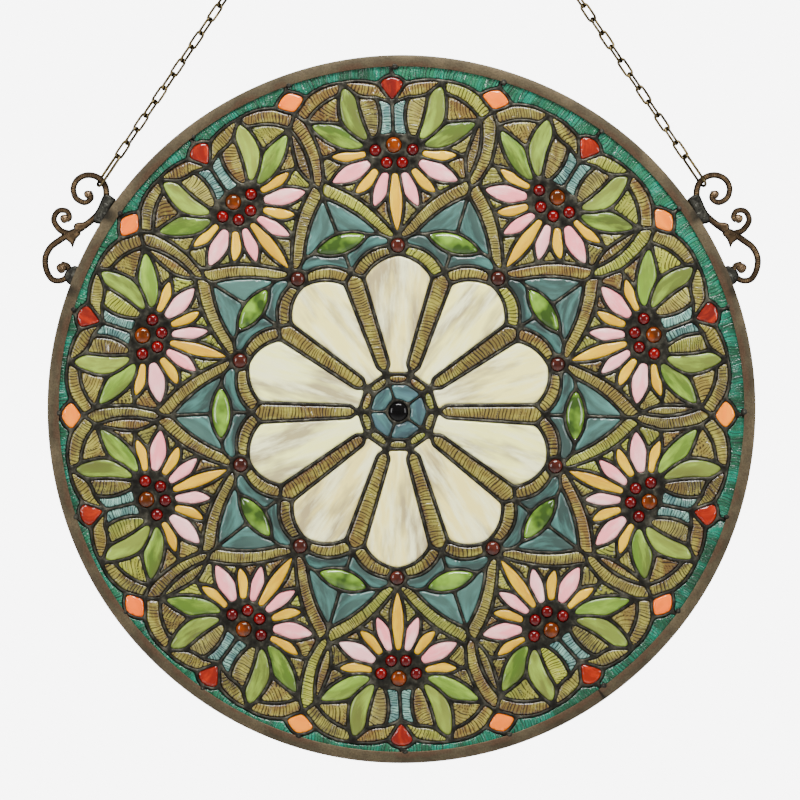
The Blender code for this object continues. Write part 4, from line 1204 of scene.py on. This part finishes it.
cast = Finish("cast_hanger_metal", Metallic=0.8, Specular_Tint=(0.05, 0.05, 0.05))
grime = cast.noise(cast.place(), 160.0, 4.0, 0.65)
tone = cast.ramp(grime, (0.35, colour(112, 92, 72)), (0.55, colour(146, 124, 100)),
                 (0.72, colour(182, 160, 132)))
# Painted shade: near black where the crown mark is low, on the strips' sides and backs, between
# the ribs, round the lobes' edges and on the balls' sides.
low = cast.ramp(cast.mark("crown"), (0.3, 1.0), (0.8, 0.0))
cast.set(cast.shader, {"Base Color": cast.blend(low, tone, colour(34, 25, 17)),
                       "Roughness": cast.sum("MULTIPLY_ADD", grime, 0.3, 0.2)})
cast.relief(grime, 0.0004, 0.4)
for name, hand in (("left", 1), ("right", -1)):
    pieces = [scroll(STEM, 0.0062, 0.0048, STEM_DEPTH, hand),
              scroll(MIDDLE_CURL, 0.0056, 0.0046, 0.0039, hand),
              scroll(LOWER_CURL, 0.0061, 0.0048, 0.0041, hand),
              cushion(THORN, 0.0019, hand, 0.03), cushion(LOBE, 0.0023, hand, 0.03)]
    for x, z, radius in BALLS:
        across, up = at_hanger(x, z, hand)
        size = (radius * DRAWN, BALL_HALF, radius * DRAWN)
        pieces.append(lump((across, 0.0, up), size, 0.4 * radius))
    crested(f"scroll_hanger_{name}", pieces, cast, f"hanger_{name}")
    # The welds' edges take painted shade from the grey solder's finish.
    welds = [cushion(TOP_WELD, 0.0029, hand), cushion(LOW_WELD, 0.0028, hand)]
    crested(f"hanger_solder_{name}", welds, grey_solder, f"hanger_{name}")


# The chains: oval links of brass wire, set crosswise by turns, a longer one hooked round each
# top scroll, and the ring that both hang from. Painted shade darkens each link's ends, where the
# links meet.
CHAIN_WIRE, LINK_WIDTH, LINK_PITCH = 0.0023, 0.0086, 0.0143
LINK_TWISTS = math.radians(20.0), math.radians(-58.0)
END_LENGTH, END_WIRE, END_TWIST = 0.0340, 0.0025, math.radians(30.0)
HOOKED_AT = (-3.9, 25.0)
HOOK_GAP, HOOK_START = 0.0002, 0.0037
RING_RADIUS, RING_WIRE, RING_SLACK = 0.0130, 0.0032, 0.0006


def wire_loop(middle, along, across, length, width, wire, count=28, sides=8):
    """Round wire bent to an oval with straight sides and half-round ends, with a mark that is low
    at the ends, where links meet, for painted shade: s = r sin(a) +- the straight, t = r cos(a)."""
    radius, straight = (width - wire) / 2, (length - width) / 2
    turn = np.arange(count) * 2.0 * math.pi / count
    s = radius * np.sin(turn) + straight * np.clip(4.0 * np.sin(turn), -1.0, 1.0)
    t = radius * np.cos(turn)
    centre = middle + s[:, None] * along + t[:, None] * across
    run = np.roll(centre, -1, axis=0) - np.roll(centre, 1, axis=0)
    run /= np.linalg.norm(run, axis=1)[:, None]
    normal = np.cross(along, across)
    side = np.cross(run, normal)
    part = np.arange(sides) * 2.0 * math.pi / sides
    ring = np.cos(part)[None, :, None] * side[:, None] + np.sin(part)[None, :, None] * normal
    points = (centre[:, None] + ring * wire / 2).reshape(-1, 3)
    unshaded = np.repeat(np.abs(np.cos(turn)), sides)
    return points, halved(grid_faces(count, sides)), unshaded


def chain_links(hand):
    """Every link of one chain, from the top scroll to the ring, in the line it hangs in."""
    x, z = at_hanger(*HOOKED_AT, hand)
    bar = np.array((x, 0.0, z))
    along = -bar / np.linalg.norm(bar)
    through = np.array((0.0, 1.0, 0.0))
    in_plane = np.cross(along, through)
    room = (STEM_DEPTH / 2 + HOOK_GAP + END_WIRE / 2) / math.cos(END_TWIST)
    first = HOOK_START - END_LENGTH + 2 * END_WIRE
    reach = float(np.linalg.norm(bar)) + first - RING_RADIUS + RING_WIRE / 2 + RING_SLACK
    count = 2 * round(reach / LINK_PITCH / 2)
    pitch = reach / count
    across = through * math.cos(END_TWIST) + in_plane * math.sin(END_TWIST)
    middle = bar + along * (END_LENGTH / 2 - END_WIRE - HOOK_START)
    links = [wire_loop(middle, along, across, END_LENGTH, 2 * room + END_WIRE, END_WIRE, 36, 10)]
    for number in range(count):
        middle = bar + along * (-first + pitch * (number + 0.5))
        twist = LINK_TWISTS[number % 2]
        across = in_plane * math.cos(twist) + through * math.sin(twist)
        links.append(wire_loop(middle, along, across, pitch + 2 * CHAIN_WIRE, LINK_WIDTH,
                               CHAIN_WIRE))
    return links


brass = Finish("antique_brass", Metallic=0.9, Specular_Tint=(0.05, 0.05, 0.05))
dull = brass.noise(brass.place(), 170.0, 4.0, 0.65)
tone = brass.ramp(dull, (0.36, colour(88, 76, 56)), (0.56, colour(146, 130, 100)),
                  (0.78, colour(192, 176, 140)))
# Painted shade: each link's ends, where the links meet, go dark.
painted_link_shade = brass.ramp(brass.mark("crown"), (0.3, 1.0), (0.75, 0.0))
brass.set(brass.shader, {"Base Color": brass.blend(painted_link_shade, tone, colour(38, 31, 22)),
                         "Roughness": brass.sum("MULTIPLY_ADD", dull, 0.3, 0.2)})
brass.relief(dull, 0.0003, 0.3)
for name, hand in (("left", 1), ("right", -1)):
    crested(f"chain_links_{name}", chain_links(hand), brass, f"chain_{name}")
RING_WIDTH = 2 * RING_RADIUS + RING_WIRE
ring_points, ring_faces, _ = wire_loop(np.zeros(3), np.array((0.0, 0.0, 1.0)),
                                       np.array((1.0, 0.0, 0.0)), RING_WIDTH, RING_WIDTH,
                                       RING_WIRE, 64, 16)
crested("ring", [(ring_points, ring_faces, np.ones(len(ring_points)))], brass, "hanging_ring")


# The photographer's corner: a pale floor, a bright white wall well behind, a soft grey room, one
# long lamp above, two weak ones at the sides and one for the panel's back.


def plane(name, points, finish):
    """A flat sheet of the studio."""
    sheet = new_mesh(name, np.array(points), np.array([(0, 1, 2, 3)]), finish, False)
    return sheet


FLOOR_HEIGHT, BACK, REACH, WALL_TOP = -1.8, 9.0, 20.0, 9.0
pale = Finish("studio_floor", Roughness=0.9)
shift = pale.noise(pale.place(), 1.2, 2.0)
pale.set(pale.shader, {"Base Color": pale.ramp(shift, (0.3, 0.86), (0.7, 0.9))})
plane("floor", [(-REACH, -REACH, FLOOR_HEIGHT), (REACH, -REACH, FLOOR_HEIGHT),
                (REACH, BACK, FLOOR_HEIGHT), (-REACH, BACK, FLOOR_HEIGHT)], pale.material)
bright = Finish("lit_wall", Roughness=0.9)
bright.set(bright.shader, {"Base Color": (0.9, 0.9, 0.9), "Emission Color": (1.0, 1.0, 1.0),
                           "Emission Strength": 7.0})
wall_sheet = plane("lit_backdrop", [(-REACH, BACK, FLOOR_HEIGHT), (REACH, BACK, FLOOR_HEIGHT),
                                    (REACH, BACK, WALL_TOP), (-REACH, BACK, WALL_TOP)],
                   bright.material)
wall_sheet.visible_diffuse = wall_sheet.visible_glossy = False

room = bpy.data.worlds.new("soft_room")
room.use_nodes = True
sky = room.node_tree.nodes["Background"]
sky.inputs["Color"].default_value = (1.0, 1.0, 1.0, 1.0)
sky.inputs["Strength"].default_value = 0.34
bpy.context.scene.world = room


def lamp(name, place, size, power):
    """A soft rectangular lamp that faces the panel's middle."""
    light = bpy.data.lights.new(name, "AREA")
    light.shape, light.size, light.size_y, light.energy = "RECTANGLE", *size, power
    made = bpy.data.objects.new(name, light)
    made.location = place
    toward = Vector((0.0, 0.0, PANEL_HEIGHT)) - Vector(place)
    made.rotation_euler = toward.to_track_quat("-Z", "Y").to_euler()
    bpy.context.scene.collection.objects.link(made)


lamp("long_lamp", (0.1, -1.3, PANEL_HEIGHT + 1.7), (1.2, 0.4), 100.0)
lamp("left_lamp", (-1.8, -1.6, PANEL_HEIGHT + 0.3), (0.6, 1.2), 36.0)
lamp("right_lamp", (1.8, -1.6, PANEL_HEIGHT + 0.3), (0.6, 1.2), 31.0)
lamp("back_lamp", (-0.6, 2.4, PANEL_HEIGHT + 2.0), (1.2, 0.6), 90.0)


# The camera looks straight at the panel from a good way off, aimed where the photo is: its
# picture is FRAME_WIDTH wide at the panel, and its middle a little left of the panel's and up.
FRAME_WIDTH, CAMERA_AWAY, AIM = 0.6893, 4.0, (-0.0013, 0.0079)
SENSOR = 36.0
eye = bpy.data.cameras.new("eye")
eye.sensor_width = SENSOR
eye.lens = SENSOR * CAMERA_AWAY / FRAME_WIDTH
eye.clip_end = 50.0
camera = bpy.data.objects.new("eye", eye)
camera.location = (AIM[0], -CAMERA_AWAY, PANEL_HEIGHT + AIM[1])
camera.rotation_euler = (math.pi / 2, 0.0, 0.0)
bpy.context.scene.collection.objects.link(camera)
bpy.context.scene.camera = camera
